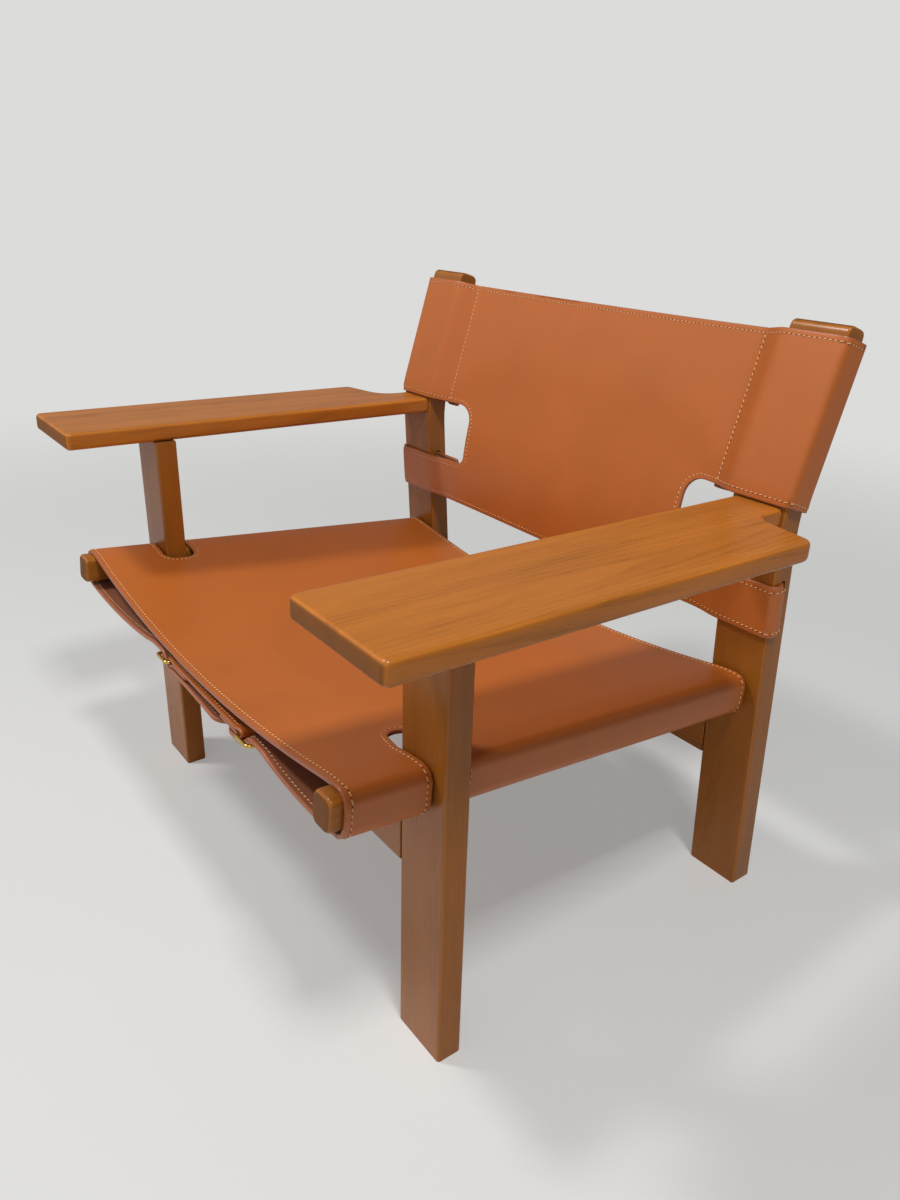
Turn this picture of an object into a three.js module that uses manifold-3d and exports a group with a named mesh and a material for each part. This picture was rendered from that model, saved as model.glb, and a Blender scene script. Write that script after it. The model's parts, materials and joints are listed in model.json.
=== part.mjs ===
// Lounge chair with leather slings. A hardwood frame of ten pieces carries a seat sling, wrapped round two
// side rails and drawn together underneath by buckled belts, and a back sling, sleeved on the rear posts
// and belted behind. Millimetres, +Z up, floor at Z = 0, the chair faces -Y.

import * as THREE from 'three';
import { mergeVertices, toCreasedNormals } from 'three/addons/utils/BufferGeometryUtils.js';
import Module from 'manifold-3d';

// Clearance between pieces that touch
const GAP = 0.3;

// Front legs and rear posts
const LEG_INNER_X = 275;
const LEG_WIDTH = 67;
const LEG_X = LEG_INNER_X + LEG_WIDTH / 2;
const LEG_EDGE = 3;
const FRONT_LEG_DEPTH = 27;
const FRONT_LEG_FRONT_Y = -197.5;
const FRONT_LEG_Y = FRONT_LEG_FRONT_Y + FRONT_LEG_DEPTH / 2;
const POST_DEPTH = 30;
const POST_BEND_Y = 216.6;
const POST_BEND_Z = 479;
const POST_LEAN = THREE.MathUtils.degToRad(3.76);
const POST_RECLINE = THREE.MathUtils.degToRad(17.1);
const POST_UPPER_LENGTH = 191.5;
const POST_TOP_ROUND = 9;
const POST_BEND_EASE = 30;

// Armrests
const ARM_INNER_X = 279;
const ARM_OUTER_X = 412.5;
const ARM_THICK = 21;
const ARM_EDGE = 5;
const ARM_FRONT_Y = -302.4;
const ARM_FRONT_Z = 494.5;
const ARM_FALL = THREE.MathUtils.degToRad(1.05);
const ARM_OUTER_LENGTH = 464.4;
const ARM_FRONT_ROUND = 7.5;
const ARM_REAR_ROUND = 10;
const ARM_SCOOP_X = 338;
const ARM_SCOOP_SLANT = THREE.MathUtils.degToRad(11);
const ARM_SCOOP_ROUND = 24;

// Seat rails, and the sloped plane of their tops that the whole seat is laid out on
const RAIL_WIDTH = 28;
const RAIL_HEIGHT = 33;
const RAIL_ROUND = 8;
const RAIL_END_ROUND = 4;
const RAIL_FRONT_Y = -295;
const RAIL_FRONT_Z = 331;
const RAIL_FALL = THREE.MathUtils.degToRad(5.36);

// Stretchers
const STRETCHER_HEIGHT = 58;
const STRETCHER_DEPTH = 22;
const FRONT_STRETCHER_Z = 198;
const REAR_STRETCHER_Z = 158;

// Mortise and tenon joints: a tenon stands out of its piece by its length and is rooted inside it
const TENON_THICK = 12;
const TENON_LENGTH = 18;
const TENON_ROOT = 10;
const LEG_TENON_WIDTH = 45;
const LEG_TENON_LENGTH = 12;
const ARM_TENON_WIDTH = 40;
const ARM_TENON_THICK = 11;
const RAIL_TENON_WIDTH = 16;
const RAIL_TENON_HEIGHT = 20;
const STRETCHER_TENON_HEIGHT = 40;

// Leather
const HIDE = 4.5;
const HIDE_GAP = 0.5;
const HIDE_OFFSET = HIDE / 2 + HIDE_GAP;

// Seat sling, in the sloped frame of the rails
const SEAT_FRONT = 12;
const SEAT_REAR = 523;
const SEAT_SPAN = 298;
const SEAT_SAG_FRONT = 28;
const SEAT_SAG_MIDDLE = 30;
const SEAT_SAG_REAR = 26;
const WRAP_BOTTOM_ROUND = 12.5;
const WRAP_SIDE_DEPTH = 27.5;
const LEG_NOTCH_LEFT = 240;
const LEG_NOTCH_RIGHT = -268;
const LEG_NOTCH_FRONT_Y = -200;
const LEG_NOTCH_REAR_Y = -160;
const LEG_NOTCH_ROUND = 14;
const FLAP_END_LEFT = 225;
const FLAP_END_RIGHT = -175;
const FLAP_ROUND = 14;
const FLAP_DROOP_LEFT = 5;
const FLAP_DROOP_RIGHT = 7;

// Belts and buckles
const TAB_WIDTH = 38;
const BELT_PLY = 3;
const BELT_FOLD = 45;
const BUCKLE_PITCH = 26;
const BUCKLE_ROD = 4;
const BUCKLE_BEVEL = 1.1;
const BUCKLE_CLEAR = 1.5;
const BUCKLE_ROUND = 6;
const BUCKLE_INNER_ROUND = 2.5;
const EYE_BORE = 2.7;
const PRONG_ROD = 3;
const PRONG_RING = 4.2;
const PRONG_WIDTH = 4;
const PRONG_LENGTH = 29;
const PRONG_REST = THREE.MathUtils.degToRad(9);
const PRONG_SLOT_WIDTH = 5.2;
const PRONG_SLOT_LENGTH = 15.5;
const PRONG_SLOT_CENTRE = 11.4;
const EYE_SLOT_LENGTH = 15;
const STRAP_LEAD = 16;
const STRAP_PASS = 4;
const STRAP_CUT_ABOVE = 8;
const STRAP_CUT_BELOW = 42;
const TIP_DROP = 1;
const TIP_DROP_LONG = 6;
const SEAT_BELT_DROP = -38;
const SEAT_BELTS = { front: 31, middle: 268, rear: 504 };
const SEAT_BUCKLE_LEFT = 145;
const SEAT_BUCKLE_RIGHT = -57;
const SEAT_TIP_LEFT = 95;
const SEAT_TIP_RIGHT = 85;

// Back sling: heights are measured along the posts' front faces from the bend, depths behind those faces
const BACK_TOP = 178;
const SLEEVE_BOTTOM = 8;
const TONGUE_TOP = -78;
const TONGUE_BOTTOM = -138;
const TONGUE_MIDDLE = (TONGUE_TOP + TONGUE_BOTTOM) / 2;
const SEAM_X = 245;
const SEAM_ALLOWANCE = 10;
const SEAM_LEAD = 4;
const SEAM_CLEAR = 1.3;
const SLEEVE_DEPTH = 15;
const SLEEVE_SLACK = 0.3;
const BACK_SAG = 10;
const TONGUE_DEPTH = 1.5;
const TONGUE_SAG = 5;
const TONGUE_TURN = 3.75;
const NOTCH_X = 199;
const NOTCH_ROUND_TOP = 25;
const NOTCH_ROUND_BOTTOM = 12;
const SLOT_WIDTH = 8;
const SLOT_HEIGHT = 65;
const SLOT_OVERRUN = 10;
const BACK_BELT_DEPTH = 22;
const BACK_BUCKLE_X = 75;
const BACK_TIP_X = 22;
const BACK_TAB_ROOT_X = 225;
const BACK_TAB_ROOT_ROUND = 7;

// A round end a hair short of a half circle, so that its outline has no empty edges
const ROUND_END = 0.499;

// How near two corners of a mesh are one, and how sharp a fold stays an edge
const SAME_CORNER = 1e-4;
const CREASE = THREE.MathUtils.degToRad(35);

const X_AXIS = new THREE.Vector3(1, 0, 0);
const Y_AXIS = new THREE.Vector3(0, 1, 0);
const Z_AXIS = new THREE.Vector3(0, 0, 1);

const wasm = await Module();
wasm.setup();

const chair = new THREE.Group();

const FINISHES = {
  arm: { color: 0xa9682c, roughness: 0.34, metalness: 0 },
  frame: { color: 0x7d4a24, roughness: 0.38, metalness: 0 },
  hide: { color: 0xa85a2c, roughness: 0.5, metalness: 0 },
  brass: { color: 0xc8a24a, roughness: 0.25, metalness: 1 },
};

// A closed geometry as a solid that can be joined and cut
function solid(geometry, matrix = new THREE.Matrix4()) {
  const bare = new THREE.BufferGeometry();
  bare.setAttribute('position', geometry.getAttribute('position').clone());
  bare.setIndex(geometry.getIndex());
  bare.applyMatrix4(matrix);
  const merged = mergeVertices(bare, SAME_CORNER);
  return new wasm.Manifold(new wasm.Mesh({
    numProp: 3,
    vertProperties: new Float32Array(merged.getAttribute('position').array),
    triVerts: new Uint32Array(merged.getIndex().array),
  }));
}

function add(name, body, finish) {
  const mesh = body.getMesh();
  const geometry = new THREE.BufferGeometry();
  geometry.setAttribute('position', new THREE.BufferAttribute(mesh.vertProperties, 3));
  geometry.setIndex(new THREE.BufferAttribute(mesh.triVerts, 1));
  const piece = new THREE.Mesh(
    toCreasedNormals(geometry, CREASE),
    new THREE.MeshStandardMaterial(FINISHES[finish]),
  );
  piece.name = name;
  chair.add(piece);
}

function axes(origin, x, y, z) {
  return new THREE.Matrix4().makeBasis(x, y, z).setPosition(origin);
}

function shift(x, y, z) {
  return new THREE.Matrix4().makeTranslation(x, y, z);
}

function roundedRect(width, height, radius) {
  const x = width / 2;
  const y = height / 2;
  const shape = new THREE.Shape();
  shape.moveTo(x, radius - y);
  shape.lineTo(x, y - radius);
  shape.absarc(x - radius, y - radius, radius, 0, Math.PI / 2);
  shape.absarc(radius - x, y - radius, radius, Math.PI / 2, Math.PI);
  shape.absarc(radius - x, radius - y, radius, Math.PI, Math.PI * 1.5);
  shape.absarc(x - radius, radius - y, radius, Math.PI * 1.5, Math.PI * 2);
  return shape;
}

// A bar of rounded rectangular section along local +Z
function bar(width, height, radius, length, segments = 1) {
  return new THREE.ExtrudeGeometry(roundedRect(width, height, radius), {
    depth: length,
    bevelEnabled: false,
    curveSegments: segments,
  });
}

// A plate whose rim is rounded over on both faces, from local Z = 0 to its thickness
function roundedPlate(shape, thickness, edge, edgeSegments, curveSegments) {
  const plate = new THREE.ExtrudeGeometry(shape, {
    depth: thickness - 2 * edge,
    bevelThickness: edge,
    bevelSize: edge,
    bevelOffset: -edge,
    bevelSegments: edgeSegments,
    curveSegments,
  });
  return plate.translate(0, 0, edge);
}

function box(width, depth, height) {
  return new THREE.BoxGeometry(width, depth, height);
}

// The sloped frame of the seat: x across, v back along the rails, w up from the tops of the rails
const SEAT_V = new THREE.Vector3(0, Math.cos(RAIL_FALL), -Math.sin(RAIL_FALL));
const SEAT_W = new THREE.Vector3(0, Math.sin(RAIL_FALL), Math.cos(RAIL_FALL));
const SEAT_ORIGIN = new THREE.Vector3(0, RAIL_FRONT_Y, RAIL_FRONT_Z);

function seatPoint(x, v, w) {
  const onRails = SEAT_ORIGIN.clone().addScaledVector(X_AXIS, x).addScaledVector(SEAT_V, v);
  return onRails.addScaledVector(SEAT_W, w);
}

function seatFrame(x, v, w) {
  return axes(seatPoint(x, v, w), X_AXIS, SEAT_V, SEAT_W);
}

// The frame of the armrests: x across, y back along the board, z up from its top face
const ARM_ALONG = new THREE.Vector3(0, Math.cos(ARM_FALL), -Math.sin(ARM_FALL));
const ARM_UP = new THREE.Vector3(0, Math.sin(ARM_FALL), Math.cos(ARM_FALL));

function armFrame(x, along, up) {
  const origin = new THREE.Vector3(x, ARM_FRONT_Y, ARM_FRONT_Z);
  origin.addScaledVector(ARM_ALONG, along).addScaledVector(ARM_UP, up);
  return axes(origin, X_AXIS, ARM_ALONG, ARM_UP);
}

// The posts' front face at a height along it from the bend, and the direction into the post there
const POST_BEND = new THREE.Vector2(POST_BEND_Y, POST_BEND_Z);

function postDirection(angle) {
  return new THREE.Vector2(Math.sin(angle), Math.cos(angle));
}

function alongPost(angle, height) {
  return POST_BEND.clone().addScaledVector(postDirection(angle), height);
}

function postFace(height) {
  const below = alongPost(-POST_LEAN, Math.min(height, -POST_BEND_EASE));
  const above = alongPost(POST_RECLINE, Math.max(height, POST_BEND_EASE));
  const t = THREE.MathUtils.clamp((height + POST_BEND_EASE) / (2 * POST_BEND_EASE), 0, 1);
  const bend = new THREE.QuadraticBezierCurve(below, POST_BEND, above);
  const up = bend.getTangent(t);
  return { point: bend.getPoint(t), inward: new THREE.Vector2(up.y, -up.x) };
}

function postPoint(x, height, depth) {
  const { point, inward } = postFace(height);
  return new THREE.Vector3(x, point.x + inward.x * depth, point.y + inward.y * depth);
}

// The frame of the lower posts: x across, y up along the post, z forward out of its front face
function postFrame(x, height, depth) {
  const up = new THREE.Vector3(0, -Math.sin(POST_LEAN), Math.cos(POST_LEAN));
  const forward = new THREE.Vector3(0, -Math.cos(POST_LEAN), -Math.sin(POST_LEAN));
  const origin = new THREE.Vector3(x, POST_BEND_Y, POST_BEND_Z);
  origin.addScaledVector(up, height).addScaledVector(forward, -depth);
  return axes(origin, X_AXIS, up, forward);
}

function postOutline() {
  const half = (POST_RECLINE + POST_LEAN) / 2;
  const turn = (POST_RECLINE - POST_LEAN) / 2;
  const rearBend = new THREE.Vector2(Math.cos(turn), -Math.sin(turn));
  rearBend.multiplyScalar(POST_DEPTH / Math.cos(half)).add(POST_BEND);
  const lower = postDirection(-POST_LEAN);
  const upper = postDirection(POST_RECLINE);
  const foot = POST_BEND_Y + POST_BEND_Z * Math.tan(POST_LEAN);
  const frontTop = alongPost(POST_RECLINE, POST_UPPER_LENGTH);
  const rearTop = frontTop.clone().add(new THREE.Vector2(upper.y, -upper.x).multiplyScalar(POST_DEPTH));
  const along = rearTop.clone().sub(frontTop).normalize();
  const outline = new THREE.Shape();
  const line = (p) => outline.lineTo(p.x, p.y);
  const curve = (c, p) => outline.quadraticCurveTo(c.x, c.y, p.x, p.y);
  outline.moveTo(foot, 0);
  outline.lineTo(foot + POST_DEPTH / Math.cos(POST_LEAN), 0);
  line(rearBend.clone().addScaledVector(lower, -POST_BEND_EASE));
  curve(rearBend, rearBend.clone().addScaledVector(upper, POST_BEND_EASE));
  line(rearTop.clone().addScaledVector(upper, -POST_TOP_ROUND));
  curve(rearTop, rearTop.clone().addScaledVector(along, -POST_TOP_ROUND));
  line(frontTop.clone().addScaledVector(along, POST_TOP_ROUND));
  curve(frontTop, frontTop.clone().addScaledVector(upper, -POST_TOP_ROUND));
  line(alongPost(POST_RECLINE, POST_BEND_EASE));
  curve(POST_BEND, alongPost(-POST_LEAN, -POST_BEND_EASE));
  return outline;
}

// A post blank, moved forward by the clearance where it serves to trim what butts on it
function postBlank(side, forward = 0) {
  const start = new THREE.Vector3(side * LEG_X - LEG_WIDTH / 2, -forward, 0);
  return solid(roundedPlate(postOutline(), LEG_WIDTH, LEG_EDGE, 2, 4), axes(start, Y_AXIS, Z_AXIS, X_AXIS));
}

// A rail with its ends rounded over, larger all round where it serves to cut the way through a leg
function railBlank(side, grow, length) {
  const section = roundedRect(RAIL_HEIGHT + 2 * grow, RAIL_WIDTH + 2 * grow, RAIL_ROUND + grow);
  const blank = roundedPlate(section, length, RAIL_END_ROUND, 3, 4);
  return solid(blank, axes(seatPoint(side * LEG_X, 0, -RAIL_HEIGHT / 2), SEAT_W, X_AXIS, SEAT_V));
}

// Plan of an armrest: a straight inner edge, and a scoop from the outer rear corner in to the post
function armOutline(side, length) {
  const x = (value) => side * value;
  const slant = (value) => ARM_OUTER_LENGTH + (ARM_OUTER_X - value) * Math.tan(ARM_SCOOP_SLANT);
  const cornerEnd = ARM_OUTER_X - ARM_REAR_ROUND;
  const slantEnd = ARM_SCOOP_X + ARM_SCOOP_ROUND;
  const scoopEnd = slant(ARM_SCOOP_X) + ARM_SCOOP_ROUND;
  const outline = new THREE.Shape();
  outline.moveTo(x(ARM_INNER_X), ARM_FRONT_ROUND);
  outline.quadraticCurveTo(x(ARM_INNER_X), 0, x(ARM_INNER_X + ARM_FRONT_ROUND), 0);
  outline.lineTo(x(ARM_OUTER_X - ARM_FRONT_ROUND), 0);
  outline.quadraticCurveTo(x(ARM_OUTER_X), 0, x(ARM_OUTER_X), ARM_FRONT_ROUND);
  outline.lineTo(x(ARM_OUTER_X), ARM_OUTER_LENGTH - ARM_REAR_ROUND);
  outline.quadraticCurveTo(x(ARM_OUTER_X), ARM_OUTER_LENGTH, x(cornerEnd), slant(cornerEnd));
  outline.lineTo(x(slantEnd), slant(slantEnd));
  outline.quadraticCurveTo(x(ARM_SCOOP_X), slant(ARM_SCOOP_X), x(ARM_SCOOP_X), scoopEnd);
  outline.lineTo(x(ARM_SCOOP_X), length);
  outline.lineTo(x(ARM_INNER_X), length);
  return outline;
}

// Joint tenons, each also used slightly larger to cut its mortise
const legReach = FRONT_LEG_Y - ARM_FRONT_Y;
const legTenon = (side, grow) => solid(
  box(LEG_TENON_WIDTH + 2 * grow, TENON_THICK + 2 * grow, TENON_ROOT + LEG_TENON_LENGTH + 2 * grow),
  armFrame(side * LEG_X, legReach, (LEG_TENON_LENGTH - TENON_ROOT) / 2 - ARM_THICK),
);
const armReach = POST_BEND_Y - ARM_FRONT_Y;
const armTenon = (side, grow) => solid(
  box(ARM_TENON_WIDTH + 2 * grow, TENON_ROOT + TENON_LENGTH + 2 * grow, ARM_TENON_THICK + 2 * grow),
  armFrame(side * LEG_X, armReach + (TENON_LENGTH - TENON_ROOT) / 2, -ARM_THICK / 2),
);
const railEndY = POST_BEND_Y + (POST_BEND_Z - RAIL_FRONT_Z) * Math.tan(POST_LEAN);
const railReach = (railEndY - RAIL_FRONT_Y) / Math.cos(RAIL_FALL);
const railTenon = (side, grow) => solid(
  box(RAIL_TENON_WIDTH + 2 * grow, TENON_ROOT + TENON_LENGTH + 2 * grow, RAIL_TENON_HEIGHT + 2 * grow),
  seatFrame(side * LEG_X, railReach + (TENON_LENGTH - TENON_ROOT) / 2, -RAIL_HEIGHT / 2),
);

// A stretcher runs in its own frame from its middle, x across, y up its height, z out of its front face
function stretcher(frame, name) {
  const length = 2 * (LEG_INNER_X - GAP);
  const along = axes(new THREE.Vector3(-length / 2, 0, -STRETCHER_DEPTH / 2), Y_AXIS, Z_AXIS, X_AXIS);
  const board = bar(STRETCHER_HEIGHT, STRETCHER_DEPTH, LEG_EDGE, length);
  const body = solid(board, frame.clone().multiply(along));
  add(name, body.add(stretcherTenon(frame, 0)), 'frame');
}

function stretcherTenon(frame, grow) {
  const length = 2 * (LEG_INNER_X + TENON_LENGTH + grow);
  const tenon = box(length, STRETCHER_TENON_HEIGHT + 2 * grow, TENON_THICK + 2 * grow);
  return solid(tenon, frame.clone().multiply(shift(0, 0, -STRETCHER_DEPTH / 2)));
}

const frontStretcher = axes(
  new THREE.Vector3(0, FRONT_LEG_FRONT_Y, FRONT_STRETCHER_Z + STRETCHER_HEIGHT / 2),
  X_AXIS,
  Z_AXIS,
  Y_AXIS.clone().negate(),
);
const rearStretcherHeight = (REAR_STRETCHER_Z - POST_BEND_Z) / Math.cos(POST_LEAN) + STRETCHER_HEIGHT / 2;
const rearStretcher = postFrame(0, rearStretcherHeight, 0);

// The slot below each armrest that the back sling's tongue goes through
function postSlot(side) {
  const slot = bar(SLOT_WIDTH, SLOT_HEIGHT, SLOT_WIDTH * ROUND_END, LEG_WIDTH + 2 * SLOT_OVERRUN, 2);
  const start = side * LEG_X - LEG_WIDTH / 2 - SLOT_OVERRUN;
  const frame = postFrame(start, TONGUE_MIDDLE, SLEEVE_DEPTH);
  const turn = axes(new THREE.Vector3(), Z_AXIS.clone().negate(), Y_AXIS, X_AXIS);
  return solid(slot, frame.multiply(turn));
}

function buildFrame(side, label) {
  const cube = 2 * LEG_WIDTH;
  const underArm = solid(
    box(cube, cube, cube),
    armFrame(side * LEG_X, legReach, cube / 2 - ARM_THICK - GAP),
  );
  const legBlank = bar(LEG_WIDTH, FRONT_LEG_DEPTH, LEG_EDGE, ARM_FRONT_Z);
  const leg = solid(legBlank, shift(side * LEG_X, FRONT_LEG_Y, 0))
    .subtract(underArm)
    .add(legTenon(side, 0))
    .subtract(railBlank(side, GAP, railReach))
    .subtract(stretcherTenon(frontStretcher, GAP));
  add(`front_leg_${label}`, leg, 'frame');

  const post = postBlank(side)
    .subtract(armTenon(side, GAP))
    .subtract(railTenon(side, GAP))
    .subtract(stretcherTenon(rearStretcher, GAP))
    .subtract(postSlot(side));
  add(`rear_post_${label}`, post, 'frame');

  const trim = postBlank(side, GAP);
  const rail = railBlank(side, 0, railReach + POST_DEPTH / 2)
    .subtract(trim)
    .add(railTenon(side, 0));
  add(`seat_rail_${label}`, rail, 'frame');

  const board = roundedPlate(armOutline(side, armReach + POST_DEPTH / 2), ARM_THICK, ARM_EDGE, 3, 5);
  const arm = solid(board, armFrame(0, 0, -ARM_THICK))
    .subtract(trim)
    .subtract(legTenon(side, GAP))
    .add(armTenon(side, 0));
  add(`armrest_${label}`, arm, 'arm');
}

// A sheet of hide of even thickness round a grid of points on its middle surface. Cells whose corners are
// not all there are left open, so one grid can hold strips that part from each other.
function hideSheet(grid) {
  const rows = grid.length;
  const columns = grid[0].length;
  const filled = (i, j) => i >= 0 && j >= 0 && i < rows - 1 && j < columns - 1
    && Boolean(grid[i][j] && grid[i][j + 1] && grid[i + 1][j] && grid[i + 1][j + 1]);
  const cellNormal = (i, j) => {
    const first = grid[i + 1][j + 1].clone().sub(grid[i][j]);
    const second = grid[i + 1][j].clone().sub(grid[i][j + 1]);
    return second.cross(first);
  };
  const positions = [];
  const index = [];
  const number = grid.map((row, i) => row.map((point, j) => {
    const normal = new THREE.Vector3();
    for (const [a, b] of [[i - 1, j - 1], [i - 1, j], [i, j - 1], [i, j]]) {
      if (filled(a, b)) normal.add(cellNormal(a, b).normalize());
    }
    if (normal.lengthSq() === 0) return -1;
    normal.setLength(HIDE / 2);
    positions.push(...point.clone().add(normal).toArray(), ...point.clone().sub(normal).toArray());
    return positions.length / 6 - 1;
  }));
  const upper = (i, j) => 2 * number[i][j];
  const lower = (i, j) => 2 * number[i][j] + 1;
  const quad = (a, b, c, d) => index.push(a, b, c, a, c, d);
  const wall = (a, b) => quad(upper(...a), lower(...a), lower(...b), upper(...b));
  for (let i = 0; i < rows - 1; i += 1) {
    for (let j = 0; j < columns - 1; j += 1) {
      if (!filled(i, j)) continue;
      quad(upper(i, j), upper(i + 1, j), upper(i + 1, j + 1), upper(i, j + 1));
      quad(lower(i, j), lower(i, j + 1), lower(i + 1, j + 1), lower(i + 1, j));
      if (!filled(i - 1, j)) wall([i, j + 1], [i, j]);
      if (!filled(i + 1, j)) wall([i + 1, j], [i + 1, j + 1]);
      if (!filled(i, j - 1)) wall([i, j], [i + 1, j]);
      if (!filled(i, j + 1)) wall([i + 1, j + 1], [i, j + 1]);
    }
  }
  const geometry = new THREE.BufferGeometry();
  geometry.setAttribute('position', new THREE.Float32BufferAttribute(positions, 3));
  geometry.setIndex(index);
  return solid(geometry);
}

function arcPoints(cx, cy, radius, from, to, steps) {
  const points = [];
  for (let k = 0; k <= steps; k += 1) {
    const angle = THREE.MathUtils.degToRad(from + ((to - from) * k) / steps);
    points.push([cx + radius * Math.cos(angle), cy + radius * Math.sin(angle)]);
  }
  return points;
}

// The way of a strap end through its buckle, seen along the belt's width: over the front bar, down through
// the frame and under the heel bar. Distances run from the heel bar towards the front bar, heights from the
// plane of the frame.
function buckleWay(tipDistance, tipDrop) {
  const over = BUCKLE_ROD / 2 + GAP + HIDE / 2;
  const under = -(EYE_BORE + BELT_PLY + GAP + HIDE / 2);
  return [
    [BUCKLE_PITCH + STRAP_LEAD, over],
    [BUCKLE_PITCH + STRAP_PASS, over],
    [BUCKLE_PITCH - STRAP_PASS, over],
    [BUCKLE_PITCH / 2, (over + under) / 2],
    [STRAP_PASS, under],
    [-STRAP_PASS, under],
    [tipDistance / 2, under - tipDrop / 4],
    [tipDistance, under - tipDrop],
  ];
}

// Cuts that finish a strap end: the prong slot and the round tip. The frame is the belt's own, x across the
// chair, y along the belt's width and z away from the face of the buckles.
function tabCuts(frame, side, heelX, tipX) {
  const slot = prism(
    roundedRect(PRONG_SLOT_LENGTH, PRONG_SLOT_WIDTH, PRONG_SLOT_WIDTH * ROUND_END),
    -STRAP_CUT_BELOW,
    STRAP_CUT_ABOVE,
    frame.clone().multiply(shift(heelX + side * PRONG_SLOT_CENTRE, 0, 0)),
    1,
  );
  const round = TAB_WIDTH / 2;
  const margin = HIDE / 2;
  const corners = new THREE.Shape();
  corners.moveTo(-margin, -round - margin);
  corners.lineTo(round, -round - margin);
  corners.lineTo(round, -round);
  corners.absarc(round, 0, round, Math.PI * 1.5, Math.PI / 2, true);
  corners.lineTo(round, round + margin);
  corners.lineTo(-margin, round + margin);
  const turn = new THREE.Matrix4().makeRotationZ(side > 0 ? 0 : Math.PI);
  const tipFrame = frame.clone().multiply(shift(tipX, 0, 0)).multiply(turn);
  return [slot, prism(corners, -STRAP_CUT_BELOW, STRAP_CUT_ABOVE, tipFrame)];
}

// A straight prism of a shape between two heights of a frame
function prism(shape, from, to, frame, curveSegments = 2) {
  const options = { depth: to - from, bevelEnabled: false, curveSegments };
  const body = new THREE.ExtrudeGeometry(shape, options);
  return solid(body, frame.clone().multiply(shift(0, 0, from)));
}

function cutAll(body, cuts) {
  return cuts.reduce((rest, cut) => rest.subtract(cut), body);
}

// Section of the seat sling from one strap tip to the other, in x and height above the rails
function seatSection(sag) {
  const top = HIDE_OFFSET;
  const half = RAIL_WIDTH / 2 - RAIL_ROUND;
  const span = [];
  for (let k = -5; k <= 5; k += 1) {
    span.push([(SEAT_SPAN * k) / 5, top - sag * (1 - (k / 5) ** 2)]);
  }
  const outer = LEG_X + RAIL_WIDTH / 2 + HIDE_OFFSET;
  const wrapX = outer - WRAP_BOTTOM_ROUND;
  const wrap = [
    ...arcPoints(LEG_X + half, -RAIL_ROUND, RAIL_ROUND + HIDE_OFFSET, 90, 0, 3),
    ...arcPoints(wrapX, -WRAP_SIDE_DEPTH, WRAP_BOTTOM_ROUND, 0, -90, 3),
  ];
  const heelLeft = SEAT_BUCKLE_LEFT - BUCKLE_PITCH / 2;
  const heelRight = SEAT_BUCKLE_RIGHT + BUCKLE_PITCH / 2;
  const tabLeft = buckleWay(SEAT_TIP_LEFT - heelLeft, TIP_DROP)
    .map(([d, h]) => [heelLeft + d, SEAT_BELT_DROP + h]);
  const tabRight = buckleWay(heelRight - SEAT_TIP_RIGHT, TIP_DROP_LONG)
    .map(([d, h]) => [heelRight - d, SEAT_BELT_DROP + h]);
  const wrapRight = wrap.map(([x, w]) => [-x, w]);
  const left = [...wrap, flapPoint(wrap.at(-1), tabLeft[0], FLAP_DROOP_LEFT), ...tabLeft];
  const right = [...wrapRight, flapPoint(wrapRight.at(-1), tabRight[0], FLAP_DROOP_RIGHT), ...tabRight];
  return [...right.reverse(), ...span, ...left];
}

// A flap hangs slack half way between the wrap round its rail and its buckles
function flapPoint([wrapX, wrapW], [tabX, tabW], droop) {
  return [(wrapX + tabX) / 2, (wrapW + tabW) / 2 - droop];
}

function buildSeatSling() {
  const depth = SEAT_REAR - SEAT_FRONT;
  const sags = [SEAT_SAG_FRONT, SEAT_SAG_MIDDLE, SEAT_SAG_REAR];
  const rows = sags.map((sag, k) => {
    const v = SEAT_FRONT + (depth * k) / (sags.length - 1);
    return seatSection(sag).map(([x, w]) => seatPoint(x, v, w));
  });
  const cuts = [];
  for (const innerX of [LEG_NOTCH_LEFT, LEG_NOTCH_RIGHT]) {
    const width = 2 * LEG_WIDTH;
    const notch = roundedRect(width, LEG_NOTCH_REAR_Y - LEG_NOTCH_FRONT_Y, LEG_NOTCH_ROUND);
    const middle = (LEG_NOTCH_REAR_Y + LEG_NOTCH_FRONT_Y) / 2;
    cuts.push(prism(notch, 0, ARM_FRONT_Z, shift(innerX + Math.sign(innerX) * LEG_WIDTH, middle, 0)));
  }
  const places = Object.values(SEAT_BELTS);
  const flapWidth = FLAP_END_LEFT - FLAP_END_RIGHT;
  const flapMiddle = (FLAP_END_LEFT + FLAP_END_RIGHT) / 2;
  const underSeat = HIDE_OFFSET - SEAT_SAG_MIDDLE - HIDE / 2;
  for (let k = 0; k + 1 < places.length; k += 1) {
    const window = roundedRect(flapWidth, places[k + 1] - places[k] - TAB_WIDTH, FLAP_ROUND);
    const frame = seatFrame(flapMiddle, (places[k] + places[k + 1]) / 2, 0);
    cuts.push(prism(window, 2 * SEAT_BELT_DROP, underSeat, frame));
  }
  for (const v of places) {
    const frame = seatFrame(0, v, SEAT_BELT_DROP);
    cuts.push(...tabCuts(frame, 1, SEAT_BUCKLE_LEFT - BUCKLE_PITCH / 2, SEAT_TIP_LEFT));
    cuts.push(...tabCuts(frame, -1, SEAT_BUCKLE_RIGHT + BUCKLE_PITCH / 2, SEAT_TIP_RIGHT));
  }
  add('seat_sling', cutAll(hideSheet(rows), cuts), 'hide');
}

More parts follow.
